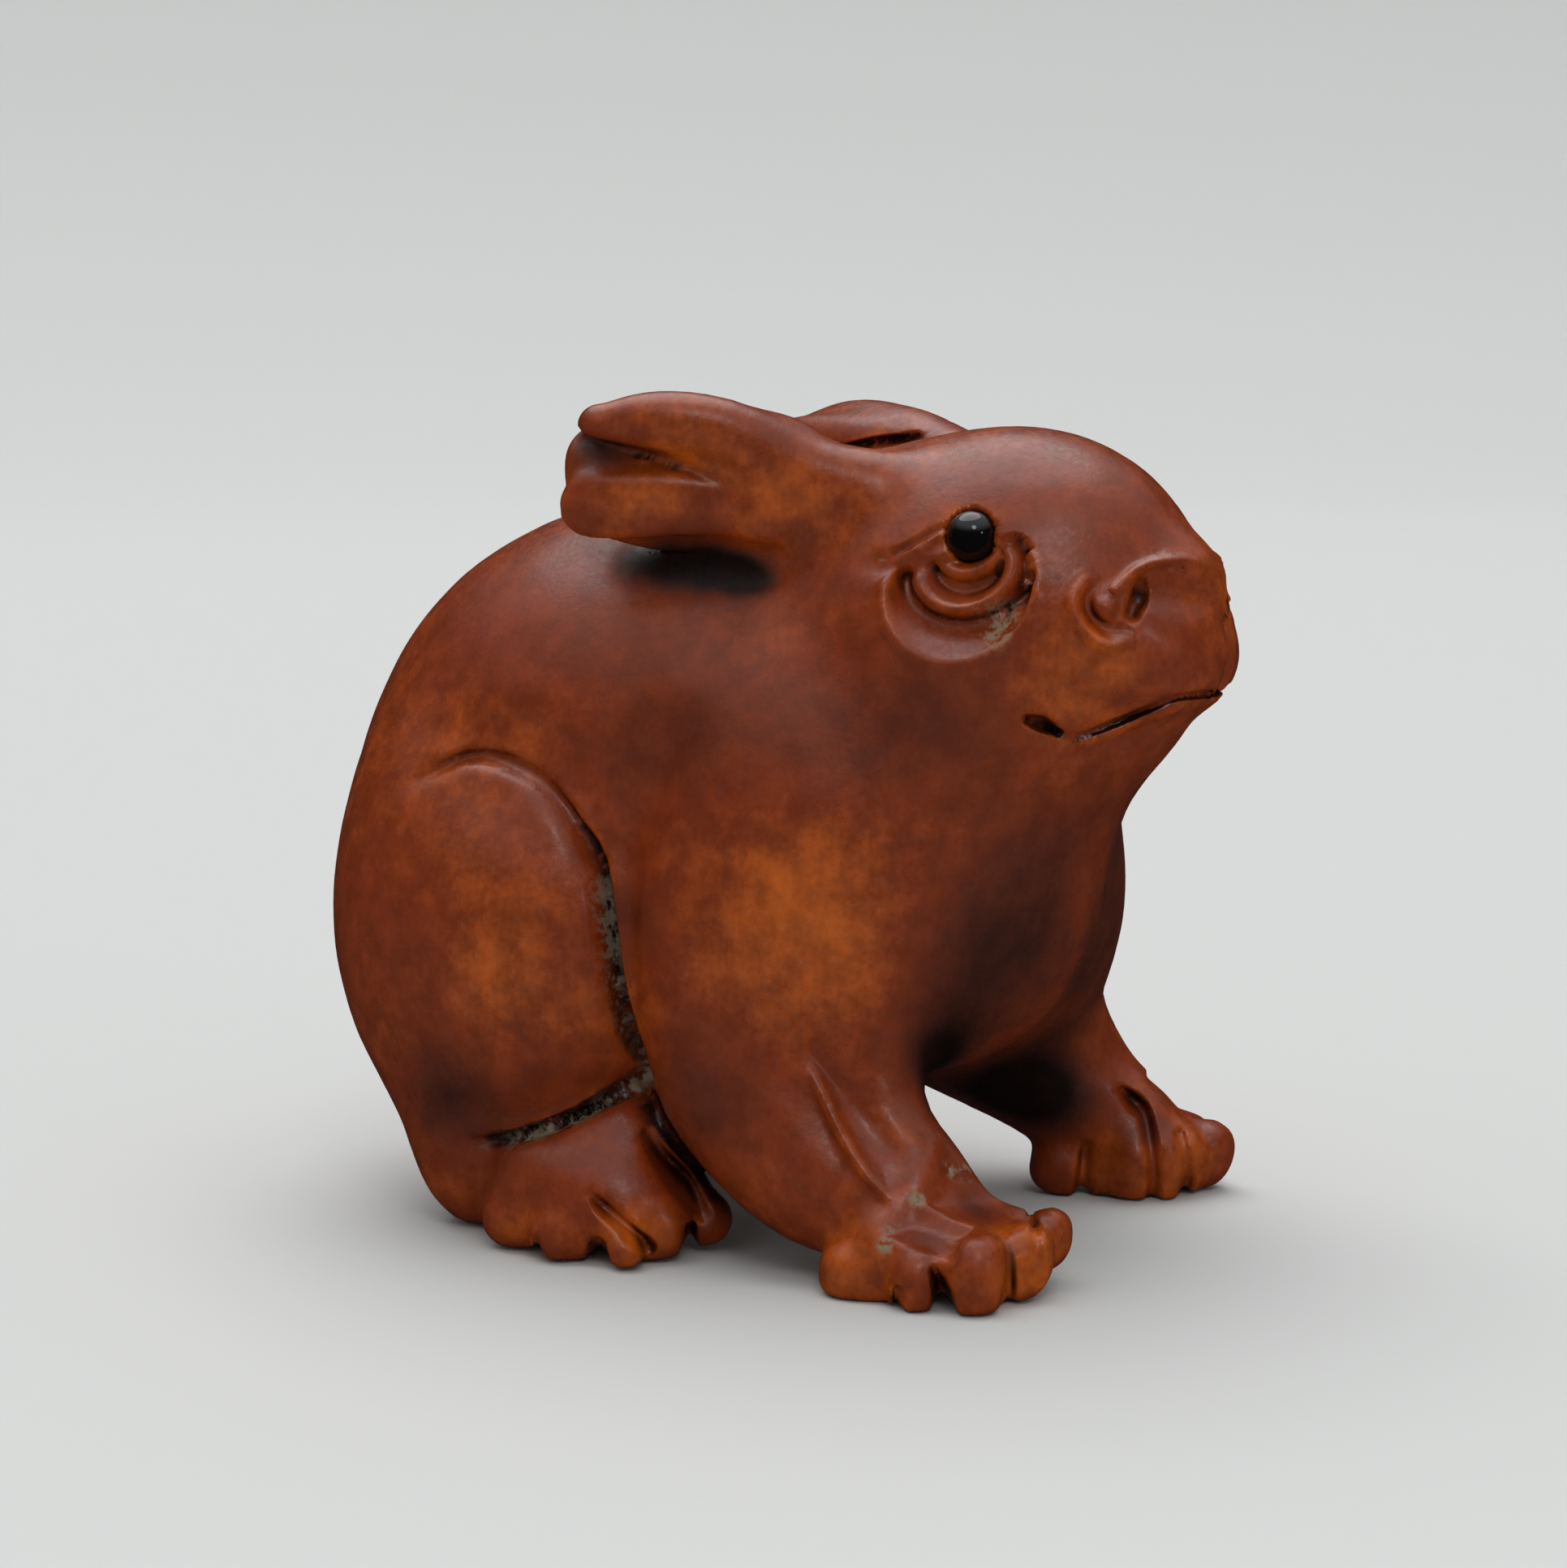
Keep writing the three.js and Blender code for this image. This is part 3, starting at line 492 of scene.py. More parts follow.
EAR_HOLLOW_DEPTH = 0.55
EAR_HOLLOW_TOP = ((4.6, 33.0), (5.2, 33.4), (6.9, 34.25), (8.6, 34.8), (10.3, 35.3), (12.2, 35.75))
EAR_HOLLOW_FOOT = ((4.6, 33.0), (7.6, 33.35), (10.4, 33.2), (13.0, 33.5))
ear_crease = groove([(10.8, 33.8, 0.35, 0.05), (9.4, 34.0, 0.4, 0.2), (7.4, 34.0, 0.35, 0.05)])


def ear_hollow(q, yaw, drop):
    """Depth carved into the ear's outer face, under the sharp edge of its lip"""
    c, sine = math.cos(math.radians(yaw)), math.sin(math.radians(yaw))
    x, s = q[:, 0] - EAR_ROOT[0], q[:, 1] - EAR_ROOT[1]
    along, out, z = x * c + s * sine, x * sine - s * c, q[:, 2] + drop
    top = np.interp(along, *np.transpose(EAR_HOLLOW_TOP))
    foot_z = np.interp(along, *np.transpose(EAR_HOLLOW_FOOT))
    share = (z - foot_z) / np.maximum(top - foot_z, 0.05)
    depth = EAR_HOLLOW_DEPTH * ramp(4.4, 7.5, along)
    depth = depth * ramp(0, 0.9, share) * ramp(top + 0.25, top - 0.45, z)
    return (depth + ear_crease(along, z)) * ramp(-1.0, -0.5, out) * ramp(12.4, 11.2, along)


def ear_shape(q, ear, yaw, drop):
    """The ear with its hollow, cut only where points are near enough to it"""
    lip, lobe, wall, base = ear
    d = join(lip(q), lobe(q), 0.4)
    d = join(d, wall(q), 0.6)
    near_it = d < 1.5
    d[near_it] += ear_hollow(q[near_it], yaw, drop)
    return join(d, base(q), 1.2)


far_ear_line = groove([(0.4, 34.4, 0.25, 0.2), (2.6, 34.9, 0.35, 0.6), (4.6, 35.15, 0.3, 0.4)])


def cut_lines(d, where, lines, a, z):
    """Add the deepest of the lines to the distance where it counts"""
    deepest = np.zeros(where.sum())
    for line in lines:
        deepest = np.maximum(deepest, line(a[where], z[where]))
    d[where] += deepest


def carving(p):
    """Signed distance to the carved wood in millimetres, negative inside"""
    near = p[:, 1] < 0
    q = np.column_stack((p[:, 0], np.abs(p[:, 1]), p[:, 2]))
    x, s, z = q.T
    d = join(rump(q), trunk(q), 5)
    d = join(d, chest(q), 4)
    d = join(d, neck(q), 4)
    d = join(d, head_shape(q), 3)
    d = join(d, shoulder(q), 3.5)
    d = np.where(near, d, join(join(d, far_shoulder(q), 3), far_lower_lip(q), 0.6))
    face = (x > 4) & (z > 21)
    xf, sf, zf = x[face], s[face], z[face]
    eye = eye_carving(xf, zf) + np.maximum(lid_line(xf, zf), lid_fold(xf, zf))
    d[face] += ramp(3.2, 4.6, sf) * eye + nose_and_mouth(xf, sf, zf)
    far_face = face & ~near & (x > 14)
    d[far_face] += far_nostril(quarter_view(x, s)[far_face], z[far_face])
    flank = s > 5
    hollow = np.maximum(flank_hollow(x[flank], z[flank]), haunch_shade(x[flank], z[flank]))
    d[flank] += ramp(5, 8, s[flank]) * hollow

    leg = np.empty(len(p))
    leg[near] = foreleg_shape(q[near], near_foreleg, near_pad, near_paw)
    leg[near] = join(leg[near], near_wrist(q[near]), 1.5)
    leg[~near] = foreleg_shape(q[~near], far_foreleg, far_pad, far_paw)
    d = join(d, leg, 2.5)
    low = (z < 11) & (s > 3)
    a = quarter_view(x, -s)
    front = low & near & (x > 3)
    d[front] += foreleg_dent(a[front], z[front]) - foreleg_ridge(a[front], z[front])
    cut_lines(d, low & near & (x > 6.5) & (z < 3.6), paw_slots, a, z)
    cut_lines(d, low & ~near & (x > 6.5), far_paw_slots, quarter_view(x, s), z)
    top = low & near & (x > 9) & (z > 1.6)
    for facet, middle, height in near_facets:
        above = np.clip(z[top] - height + FACET_FALL * (x[top] - middle), 0, FACET_DEEPEST)
        d[top] += facet(x[top], s[top]) * above

    hind = hind_leg_shape(q, near)
    cut_lines(hind, low & (x < 3) & (s > 6), foot_slots, a, z)
    d = join(d, hind, mix(1.0, 6, ramp(-10, -18, x)))
    outer = s > 8
    creases = np.maximum(haunch_line(x[outer], z[outer]), foot_line(x[outer], z[outer]))
    d[outer] += ramp(8, 10, s[outer]) * creases

    ear = np.empty(len(p))
    ear[near] = ear_shape(q[near], near_ear, NEAR_EAR_YAW, 0)
    ear[~near] = ear_shape(q[~near], far_ear, FAR_EAR_YAW, 0.6)
    far_side = ~near & (z > 33) & (x < 8)
    inner_face = EAR_ROOT[1] - s[far_side] + FAR_EAR_SPLAY * (EAR_ROOT[0] - x[far_side])
    line = far_ear_line(quarter_view(x, s)[far_side], z[far_side])
    ear[far_side] += line * ramp(0, 0.8, inner_face)
    d = join(d, ear, 0.8)
    d = join(d, ear_web(q), 0.8)
    d = cut_away(d, ear_cave(q), 0.4)
    from_bead = np.sqrt(((q - np.array(BEAD_CENTRE)) ** 2).sum(1))
    d = overlap(d, BEAD_RADIUS + BEAD_ROOM - from_bead, 0.1)
    return overlap(d, -z, FOOT_EDGE)


def slope_at(p, here, step=0.02):
    """Direction and steepness in which the carving's distance grows from its value here"""
    slope = np.empty_like(p)
    for axis in range(3):
        shift = np.zeros(3)
        shift[axis] = step
        slope[:, axis] = (carving(p + shift) - here) / step
    return slope


def settle(p, most, passes=2):
    """Slide points onto the carved surface, each by no more than the limit"""
    start = p.copy()
    for _ in range(passes):
        here = carving(p)
        slope = slope_at(p, here)
        steep = np.maximum((slope * slope).sum(1), 0.3)
        p = p - (here / steep)[:, None] * slope
        moved = p - start
        length = np.sqrt((moved * moved).sum(1))
        p = start + moved * np.minimum(1, most / np.maximum(length, 1e-9))[:, None]
    return p


BURIED = 0.3


def surface_buried(p, normals, passes=5):
    """Push the points that lie deep in the wood out of it, the way their faces look"""
    for _ in range(passes):
        depth = np.minimum(carving(p) + BURIED, 0)
        p = p - depth[:, None] * normals
    return p


# Mesh helpers

def points_of(mesh):
    """Vertices in the carving's own millimetres"""
    flat = np.empty(len(mesh.vertices) * 3)
    mesh.vertices.foreach_get("co", flat)
    return flat.reshape(-1, 3) / MM + np.array((FIGURE_MIDDLE_X, 0, 0))


def vertex_normals(mesh):
    flat = np.empty(len(mesh.vertices) * 3)
    mesh.vertex_normals.foreach_get("vector", flat)
    return flat.reshape(-1, 3)


def place_points(mesh, points):
    flat = (points - np.array((FIGURE_MIDDLE_X, 0, 0))) * MM
    mesh.vertices.foreach_set("co", flat.ravel())
    mesh.update()


def deselect_all():
    bpy.ops.object.select_all(action="DESELECT")


def activate(thing):
    deselect_all()
    thing.select_set(True)
    bpy.context.view_layer.objects.active = thing


def remesh(figure, step):
    bpy.ops.object.modifier_add(type="REMESH")
    modifier = figure.modifiers[-1]
    modifier.mode = "VOXEL"
    modifier.voxel_size = step
    bpy.ops.object.modifier_apply(modifier=modifier.name)


DETAIL_ZONES = (((11.5, 5.5, 28.0), 6.0), ((16.0, 2.0, 26.5), 4.5), ((-1.5, 9.0, 33.0), 7.0),
                ((11.5, 10.0, 1.5), 5.8), ((-4.0, 11.5, 2.5), 5.0), ((-4.0, 10.5, 14.0), 3.0))


def detailed(points):
    """The points round the face, the ears, the paws and the feet, where the carving is fine"""
    q = np.column_stack((points[:, 0], np.abs(points[:, 1]), points[:, 2]))
    chosen = np.zeros(len(points), bool)
    for centre, radius in DETAIL_ZONES:
        chosen |= ((q - np.array(centre)) ** 2).sum(1) < radius ** 2
    return chosen


def turning(mesh, turn):
    """The points of the faces across which the surface turns by more than that many degrees"""
    normals = vertex_normals(mesh)
    face_normals = np.empty(len(mesh.polygons) * 3)
    mesh.polygon_normals.foreach_get("vector", face_normals)
    corners = np.empty(len(mesh.loops), int)
    mesh.loops.foreach_get("vertex_index", corners)
    counts = np.empty(len(mesh.polygons), int)
    mesh.polygons.foreach_get("loop_total", counts)
    owner = np.repeat(np.arange(len(counts)), counts)
    agree = (normals[corners] * face_normals.reshape(-1, 3)[owner]).sum(1)
    sharp = owner[agree < math.cos(math.radians(turn))]
    chosen = np.zeros(len(mesh.vertices), bool)
    chosen[corners[np.isin(owner, sharp)]] = True
    return chosen


def select_points(figure, chosen):
    activate(figure)
    bpy.ops.object.mode_set(mode="EDIT")
    bpy.ops.mesh.select_mode(type="VERT")
    bpy.ops.mesh.select_all(action="DESELECT")
    bpy.ops.object.mode_set(mode="OBJECT")
    figure.data.vertices.foreach_set("select", chosen)


def divide(figure):
    """Subdivide the selected faces once"""
    bpy.ops.object.mode_set(mode="EDIT")
    bpy.ops.mesh.subdivide(number_cuts=1, ngon=False)
    bpy.ops.object.mode_set(mode="OBJECT")


def store(mesh, name, values):
    attribute = mesh.attributes.new(name, "FLOAT", "POINT")
    attribute.data.foreach_set("value", values.astype(np.float32))


# Finish of the wood

# Each spot is a place, a radius and a strength, above 0 where the stain is worn thin by handling and
# below 0 where the wood is darkened. Some of the dark spots are painted shade: the shadow in the
# cave under each ear, under the belly, between the forelegs, on the chest and throat under the head,
# and in the gap behind the far lower lip. The others darken the low haunch, the lower foreleg, the
# flank, the neck, the cheek, each ear's hollow and the flats of the near forepaw.
STAIN_AND_SHADE_SPOTS = (
    ((-7.1, 13.0, 12.6), 7.5, 0.45), ((4.6, 10.0, 15.5), 7.0, 0.85), ((3.0, 10.5, 11.0), 4.0, 0.3),
    ((15.0, 4.8, 26.0), 4.2, 0.7), ((17.6, 1.5, 26.0), 2.8, 0.8), ((18.0, 0.0, 28.4), 3.4, 0.9),
    ((-1.0, 8.5, 34.8), 3.2, 0.6), ((-3.5, 10.0, 32.2), 3.0, 0.6), ((1.5, 7.0, 33.0), 3.2, 0.4),
    ((14.0, 10.0, 1.5), 3.4, 0.7), ((8.5, 12.5, 1.2), 3.4, 0.6), ((-6.5, 13.0, 1.2), 3.2, 0.6),
    ((-2.0, 13.0, 1.4), 2.6, 0.7), ((-3.6, 13.2, 1.0), 1.8, 0.5), ((10.5, 8.5, 1.4), 2.2, 0.7),
    ((-12.5, 12.0, 3.0), 4.0, 0.3),
    ((5.5, 9.5, 5.0), 3.5, -0.5), ((1.0, 12.0, 8.0), 5.0, -0.6), ((10.0, 4.0, 14.0), 8.5, -0.9),
    ((8.0, 5.5, 10.0), 5.0, -0.5), ((12.0, 2.0, 20.0), 6.0, -0.5), ((-11.5, 13.0, 6.0), 5.5, -0.9),
    ((-6.0, 13.0, 7.5), 3.0, -0.5), ((5.0, 8.0, 22.5), 5.0, -0.5), ((-1.0, 10.0, 23.0), 5.5, -0.5),
    ((9.5, 8.0, 24.0), 5.5, -0.4), ((-3.4, 11.0, 15.0), 3.0, -0.6), ((15.6, 0.6, 24.2), 1.7, -2.4),
    ((6.5, 5.5, 8.0), 5.0, -1.5), ((0.0, 3.0, 9.0), 7.5, -1.4), ((7.4, 6.0, 4.5), 4.2, -1.2),
    ((9.2, 7.2, 5.0), 3.0, -0.6), ((-8.0, 5.6, 30.6), 2.6, -0.45), ((-6.2, 6.6, 30.3), 2.6, -0.6),
    ((-4.4, 7.2, 30.0), 2.6, -0.9), ((-2.6, 7.1, 29.8), 2.4, -1.1), ((-1.0, 6.9, 29.6), 2.1, -1.2),
    ((0.3, 6.8, 29.3), 1.8, -1.2), ((1.3, 6.7, 29.0), 1.3, -0.5), ((-3.0, 9.4, 30.9), 2.0, -0.8),
    ((-1.0, 8.9, 30.6), 2.0, -0.8), ((-5.5, 9.5, 34.6), 2.2, -0.9), ((11.3, 12.0, 2.2), 1.5, -0.9),
    ((12.3, 9.2, 3.0), 1.8, -0.9),
)
HOLLOW_SIZES = (0.35, 0.9, 2.2)
RIDGE_SIZE = 0.6


def stain_and_shade_level(points):
    """How far the stain is worn to amber (above 0), or the wood is darkened, mostly by painted shade
    (below 0)
    """
    level = np.zeros(len(points))
    q = np.column_stack((points[:, 0], np.abs(points[:, 1]), points[:, 2]))
    for centre, radius, strength in STAIN_AND_SHADE_SPOTS:
        away = np.sqrt(((q - np.array(centre)) ** 2).sum(1))
        level += strength * ramp(radius, 0, away)
    return level


def hollow_level(points, normals):
    """How far each point lies in a hollow, from how soon wood is met above it"""
    level = np.zeros(len(points))
    for size in HOLLOW_SIZES:
        clear = carving(points + normals * size)
        level += np.clip((size - clear) / size, 0, 1) / len(HOLLOW_SIZES)
    return level


def ridge_level(points, normals):
    """How far each point stands on a ridge, from how thin the wood under it is"""
    depth = -carving(points - normals * RIDGE_SIZE)
    return np.clip((RIDGE_SIZE - depth) / RIDGE_SIZE, 0, 1)


SEAM_TOP, FLECK_RADIUS = 17.5, 0.5
SOCKET_CORNER = (12.0, 27.6)
WRIST_FLECKS = ((10.5, -11.2, 4.1), (10.0, -12.4, 3.0), (9.9, -12.9, 2.5), (11.3, -8.3, 4.7),
                (10.9, -8.9, 4.9))


def grime_level(points):
    """Where dust has packed into the seams"""
    x, s, z = points[:, 0], np.abs(points[:, 1]), points[:, 2]
    seam = np.where(z < SEAM_TOP, haunch_line(x, z), 0) * ramp(SEAM_TOP, SEAM_TOP - 2, z)
    seam = np.maximum(0.8 * seam, 2 * foot_line(x, z) * ramp(-10.5, -7.5, x)) * ramp(8, 9, s)
    socket = bump(np.hypot(x - SOCKET_CORNER[0], z - SOCKET_CORNER[1]), 1.4)
    socket = socket * ramp(3.5, 4.5, s) * (z > 26)
    level = seam + 0.9 * socket
    for fleck in WRIST_FLECKS:
        away = np.sqrt(((points - np.array(fleck)) ** 2).sum(1))
        level += 1.4 * ramp(FLECK_RADIUS, 0.1, away)
    return np.clip(level, 0, 1)


# Shader nodes

def add(tree, kind, settings=None, inputs=None):
    """Add a shader node with its settings and its sockets, each a value or another's output"""
    new = tree.nodes.new(kind)
    for name, value in (settings or {}).items():
        setattr(new, name, value)
    for name, value in (inputs or {}).items():
        if isinstance(value, bpy.types.NodeSocket):
            tree.links.new(value, new.inputs[name])
        else:
            new.inputs[name].default_value = value
    return new


# Sockets of the Mix node that blends colours, by their number
FACTOR, FIRST, SECOND, RESULT = 0, 6, 7, 2


def blend_colours(tree, factor, first, second, blend="MIX"):
    settings = {"data_type": "RGBA", "blend_type": blend, "clamp_factor": True}
    return add(tree, "ShaderNodeMix", settings,
               {FACTOR: factor, FIRST: first, SECOND: second}).outputs[RESULT]


def arithmetic(tree, operation, first, second, clamp=False):
    return add(tree, "ShaderNodeMath", {"operation": operation, "use_clamp": clamp},
               {0: first, 1: second}).outputs[0]


def rescale(tree, value, low, high, to_low=0.0, to_high=1.0):
    return add(tree, "ShaderNodeMapRange", {"interpolation_type": "SMOOTHSTEP"},
               {"Value": value, "From Min": low, "From Max": high,
                "To Min": to_low, "To Max": to_high}).outputs["Result"]


def new_material(name):
    material = bpy.data.materials.new(name)
    material.use_nodes = True
    tree = material.node_tree
    tree.nodes.clear()
    output = add(tree, "ShaderNodeOutputMaterial")
    shader = add(tree, "ShaderNodeBsdfPrincipled")
    tree.links.new(shader.outputs["BSDF"], output.inputs["Surface"])
    return material, tree, shader


def opaque(colour):
    return (*colour, 1.0)


def stained_boxwood(finish):
    """Boxwood, carved, stained and rubbed with wax: dense and almost without figure, so it shows
    a soft cloudy stain, fine short streaks, and a satin gloss that is sharper on worn ridges.
    Painted shade darkens its hollows and the places under the ears, head and belly."""
    material, tree, shader = new_material("stained_boxwood")
    place = add(tree, "ShaderNodeTexCoord").outputs["Object"]
    level = {name: add(tree, "ShaderNodeAttribute", {"attribute_name": name}).outputs["Fac"]
             for name in ("stain", "hollow", "ridge", "grime")}

    # The streaks run up the block, so their pattern is drawn out along Z.
    grain_stretch = (1.0, 1.0, 0.12)
    along = add(tree, "ShaderNodeMapping", {"vector_type": "POINT"}, {
        "Vector": place, "Scale": grain_stretch}).outputs["Vector"]
    cloud, mottle, streak, speck = (
        add(tree, "ShaderNodeTexNoise", {}, {
            "Vector": where, "Scale": 1 / size, "Detail": detail, "Roughness": harsh}).outputs["Fac"]
        for where, size, detail, harsh in (
            (place, 6 * MM, 2.0, 0.5), (place, 1.3 * MM, 4.0, 0.6),
            (along, finish.grain_width, 3.0, 0.6), (place, 0.3 * MM, 3.0, 0.6)))

    # The stain is worn to amber where it is handled, and cloudy everywhere.
    wear = level["stain"]
    for pattern, strength in ((cloud, 1.3), (mottle, 0.8), (streak, 0.35), (speck, 0.35)):
        part = arithmetic(tree, "MULTIPLY", arithmetic(tree, "SUBTRACT", pattern, 0.5), strength)
        wear = arithmetic(tree, "ADD", wear, part)
    wear = arithmetic(tree, "ADD", wear, arithmetic(tree, "MULTIPLY", level["ridge"], 0.4))
    worn = rescale(tree, wear, -0.1, 1.1)
    colour = blend_colours(tree, worn, opaque(finish.stain), opaque(finish.amber))
    # Where the stain level is below 0 the deep colour is laid: mostly painted shade, the shadows
    # under the ears, head and belly and in the lip's gap.
    cloudy = arithmetic(tree, "MULTIPLY", arithmetic(tree, "SUBTRACT", cloud, 0.5), 0.5)
    thick = rescale(tree, arithmetic(tree, "ADD", level["stain"], cloudy), 0.1, -1.3)
    colour = blend_colours(tree, thick, colour, opaque(finish.deep_stain_and_shade))

    # Old wax and stain darken the hollows, together with painted shade laid there by how closed in
    # each point is.
    hollow_wax_and_shade = arithmetic(tree, "ADD", level["hollow"], arithmetic(tree, "MULTIPLY", speck, 0.25))
    dark = rescale(tree, hollow_wax_and_shade, 0.4, 0.95)
    colour = blend_colours(tree, dark, colour, opaque(finish.deep_stain_and_shade))
    uneven = rescale(tree, mottle, 0.3, 0.7, 0.8, 1.12)
    colour = blend_colours(tree, 1.0, colour, uneven, "MULTIPLY")

    # Dust lies in crumbs over the stain in the seams.
    crumbs = rescale(tree, arithmetic(tree, "ADD", mottle, speck), 0.92, 1.12)
    dusty = arithmetic(tree, "MULTIPLY", level["grime"], crumbs, clamp=True)
    colour = blend_colours(tree, dusty, colour, opaque(finish.grime))

    # Grain and pores stand up by a few hundredths of a millimetre, and ridges are rubbed sharper.
    grain_relief = 0.05 * MM
    height = arithmetic(tree, "ADD", arithmetic(tree, "MULTIPLY", streak, 0.6), speck)
    relief = add(tree, "ShaderNodeBump", {}, {
        "Strength": 0.3, "Distance": grain_relief, "Height": height})
    rough = rescale(tree, speck, 0.3, 0.75, finish.roughness - 0.06, finish.roughness + 0.1)
    rough = arithmetic(tree, "SUBTRACT", rough, arithmetic(tree, "MULTIPLY", level["ridge"], 0.15))
    matt = arithmetic(tree, "ADD", dusty, arithmetic(tree, "MULTIPLY", thick, 0.5))
    rough = arithmetic(tree, "ADD", rough, arithmetic(tree, "MULTIPLY", matt, 0.5), clamp=True)
    tree.links.new(colour, shader.inputs["Base Color"])
    tree.links.new(rough, shader.inputs["Roughness"])
    tree.links.new(relief.outputs["Normal"], shader.inputs["Normal"])
    shader.inputs["IOR"].default_value = 1.43
    shader.inputs["Coat Weight"].default_value = 0.06
    shader.inputs["Coat Roughness"].default_value = 0.16
    return material


def polished_bead(eyes):
    """Black horn or glass, ground to a ball and polished: near black, with mirror-like gloss"""
    material, tree, shader = new_material("polished_black_bead")
    place = add(tree, "ShaderNodeTexCoord").outputs["Object"]
    haze_size = 0.4 * MM
    haze = add(tree, "ShaderNodeTexNoise", {}, {
        "Vector": place, "Scale": 1 / haze_size, "Detail": 3.0}).outputs["Fac"]
    tree.links.new(rescale(tree, haze, 0.3, 0.7, 0.05, 0.12), shader.inputs["Roughness"])
    shader.inputs["Base Color"].default_value = opaque(eyes.bead_colour)
    shader.inputs["IOR"].default_value = 1.52
    return material


def pale_paper(stage):
    """Plain pale grey paper, matt"""
    material, _, shader = new_material("pale_grey_paper")
    shader.inputs["Base Color"].default_value = opaque(stage.floor_colour)
    shader.inputs["Roughness"].default_value = 0.85
    return material


# Steps of the carving

LONGEST_SLIDE = 1.6
TURNS = (18, 26)


def rough_out(figure, mesh_step):
    """Give the figure even faces, and slide their points onto the carving"""
    mesh = figure.data
    remesh(figure, mesh_step)
    place_points(mesh, surface_buried(points_of(mesh), vertex_normals(mesh)))
    for passes in (5, 3):
        remesh(figure, mesh_step)
        place_points(mesh, settle(points_of(mesh), LONGEST_SLIDE, passes))


def refine(figure, step):
    """Divide the faces where the carving is fine, and then where it turns sharply"""
    mesh = figure.data
    select_points(figure, detailed(points_of(mesh)))
    divide(figure)
    place_points(mesh, settle(points_of(mesh), step))
    for turn in TURNS:
        select_points(figure, turning(mesh, turn))
        divide(figure)
        place_points(mesh, settle(points_of(mesh), step / 2))


def finish_surface(mesh, settings):
    """Store what the wood's material reads, then leave the scraper's marks"""
    points = points_of(mesh)
    slope = slope_at(points, carving(points))
    normals = slope / np.maximum(np.sqrt((slope * slope).sum(1)), 1e-9)[:, None]
    # The stain level below 0 and the hollow level both bring painted shade into the wood's colour.
    store(mesh, "stain", stain_and_shade_level(points))
    store(mesh, "hollow", hollow_level(points, normals))
    store(mesh, "ridge", ridge_level(points, normals))
    store(mesh, "grime", grime_level(points))
    width = settings.tool_width / MM
    marks = np.array([noise.noise(Vector(p) / width) for p in points])
    unmarked_foot = 0.6
    lift = marks * settings.tool_mark / MM * ramp(0, unmarked_foot, points[:, 2])
    points += normals * lift[:, None]
    points[:, 2] = np.maximum(points[:, 2], 0)
    place_points(mesh, points)


# Operators

class NETSUKE_OT_carve_figure(bpy.types.Operator):
    """Carve the figure's fine surface and give it its stained finish"""
    bl_idname = "netsuke.carve_figure"
    bl_label = "Carve the figure"

    def execute(self, context):
        settings = context.scene.netsuke_figure
        deselect_all()
        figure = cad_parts["carved_rabbit"].copy()
        figure.data = figure.data.copy()
        figure.name = figure.data.name = "rabbit_carving"
        context.scene.collection.objects.link(figure)
        figure.data.materials.clear()
        activate(figure)
        bpy.ops.object.mode_set(mode="EDIT")
        bpy.ops.mesh.select_all(action="SELECT")
        bpy.ops.mesh.remove_doubles(threshold=0.001 * MM)
        bpy.ops.object.mode_set(mode="OBJECT")

        # A carved figure has no flat or round faces to start from, so its points are slid onto
        # the carving in code, and faces are added where it turns sharply.
        rough_out(figure, settings.mesh_step)
        refine(figure, settings.mesh_step / MM)
        finish_surface(figure.data, settings)
        activate(figure)
        bpy.ops.object.shade_smooth()
        figure.data.materials.append(stained_boxwood(context.scene.netsuke_finish))
        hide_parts("carved_rabbit")
        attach(figure, "root")
        return {"FINISHED"}


class NETSUKE_OT_set_eyes(bpy.types.Operator):
    """Set a polished black bead in each eye"""
    bl_idname = "netsuke.set_eyes"
    bl_label = "Set the bead eyes"

    def execute(self, context):
        material = polished_bead(context.scene.netsuke_eyes)
        for name, side in (("right_eye_bead", -1), ("left_eye_bead", 1)):
            low, high = (Vector(corner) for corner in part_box(name))
            centre = (low + high) / 2
            radius = (high - low).z / 2
            deselect_all()
            bpy.ops.mesh.primitive_uv_sphere_add(
                segments=48, ring_count=32, radius=radius, location=centre)
            bead = context.object
            bead.name = bead.data.name = name.replace("bead", "ball")
            bpy.ops.object.transform_apply(location=True, rotation=True, scale=True)
            bpy.ops.object.mode_set(mode="EDIT")
            bpy.ops.mesh.select_all(action="SELECT")
            glued = centre - Vector((0, side * radius * 0.6, 0))
            bpy.ops.mesh.bisect(
                plane_co=glued, plane_no=(0, -side, 0), use_fill=True, clear_outer=True)
            bpy.ops.mesh.bevel(offset=radius * 0.08, segments=3)
            bpy.ops.object.mode_set(mode="OBJECT")
            bpy.ops.object.shade_smooth()
            bead.data.materials.append(material)
            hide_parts(name)
            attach(bead, "root")
        return {"FINISHED"}


# Softboxes over the table, each with its place and size in metres and its power in watts
SOFTBOXES = (
    ("overhead_softbox", (-0.5, 0.5, 2.1), 2.4, 28.0),
    ("front_softbox", (0.6, -0.83, 1.05), 0.45, 2.0),
    ("catch_light", (0.53, -0.19, 0.22), 0.03, 0.08),
)
LIT_POINT = Vector((0, 0, 0.018))
CEILING_LOW, CEILING_HIGH = 0.38, 0.85
CEILING_DARK, CEILING_BRIGHT = 0.01, 0.92

# The camera stands on the near side, towards the nose. Its focal length is counted in the
# picture's pixels, and a full-frame sensor turns it into millimetres.
CAMERA_PLACE = (69.46, -131.20, 37.0)
CAMERA_TURN, CAMERA_DIP = 28, 6.7
FOCAL_PIXELS, PICTURE_PIXELS, SENSOR_WIDTH = 4060, 1932, 36
SWEEP_STEPS = 12


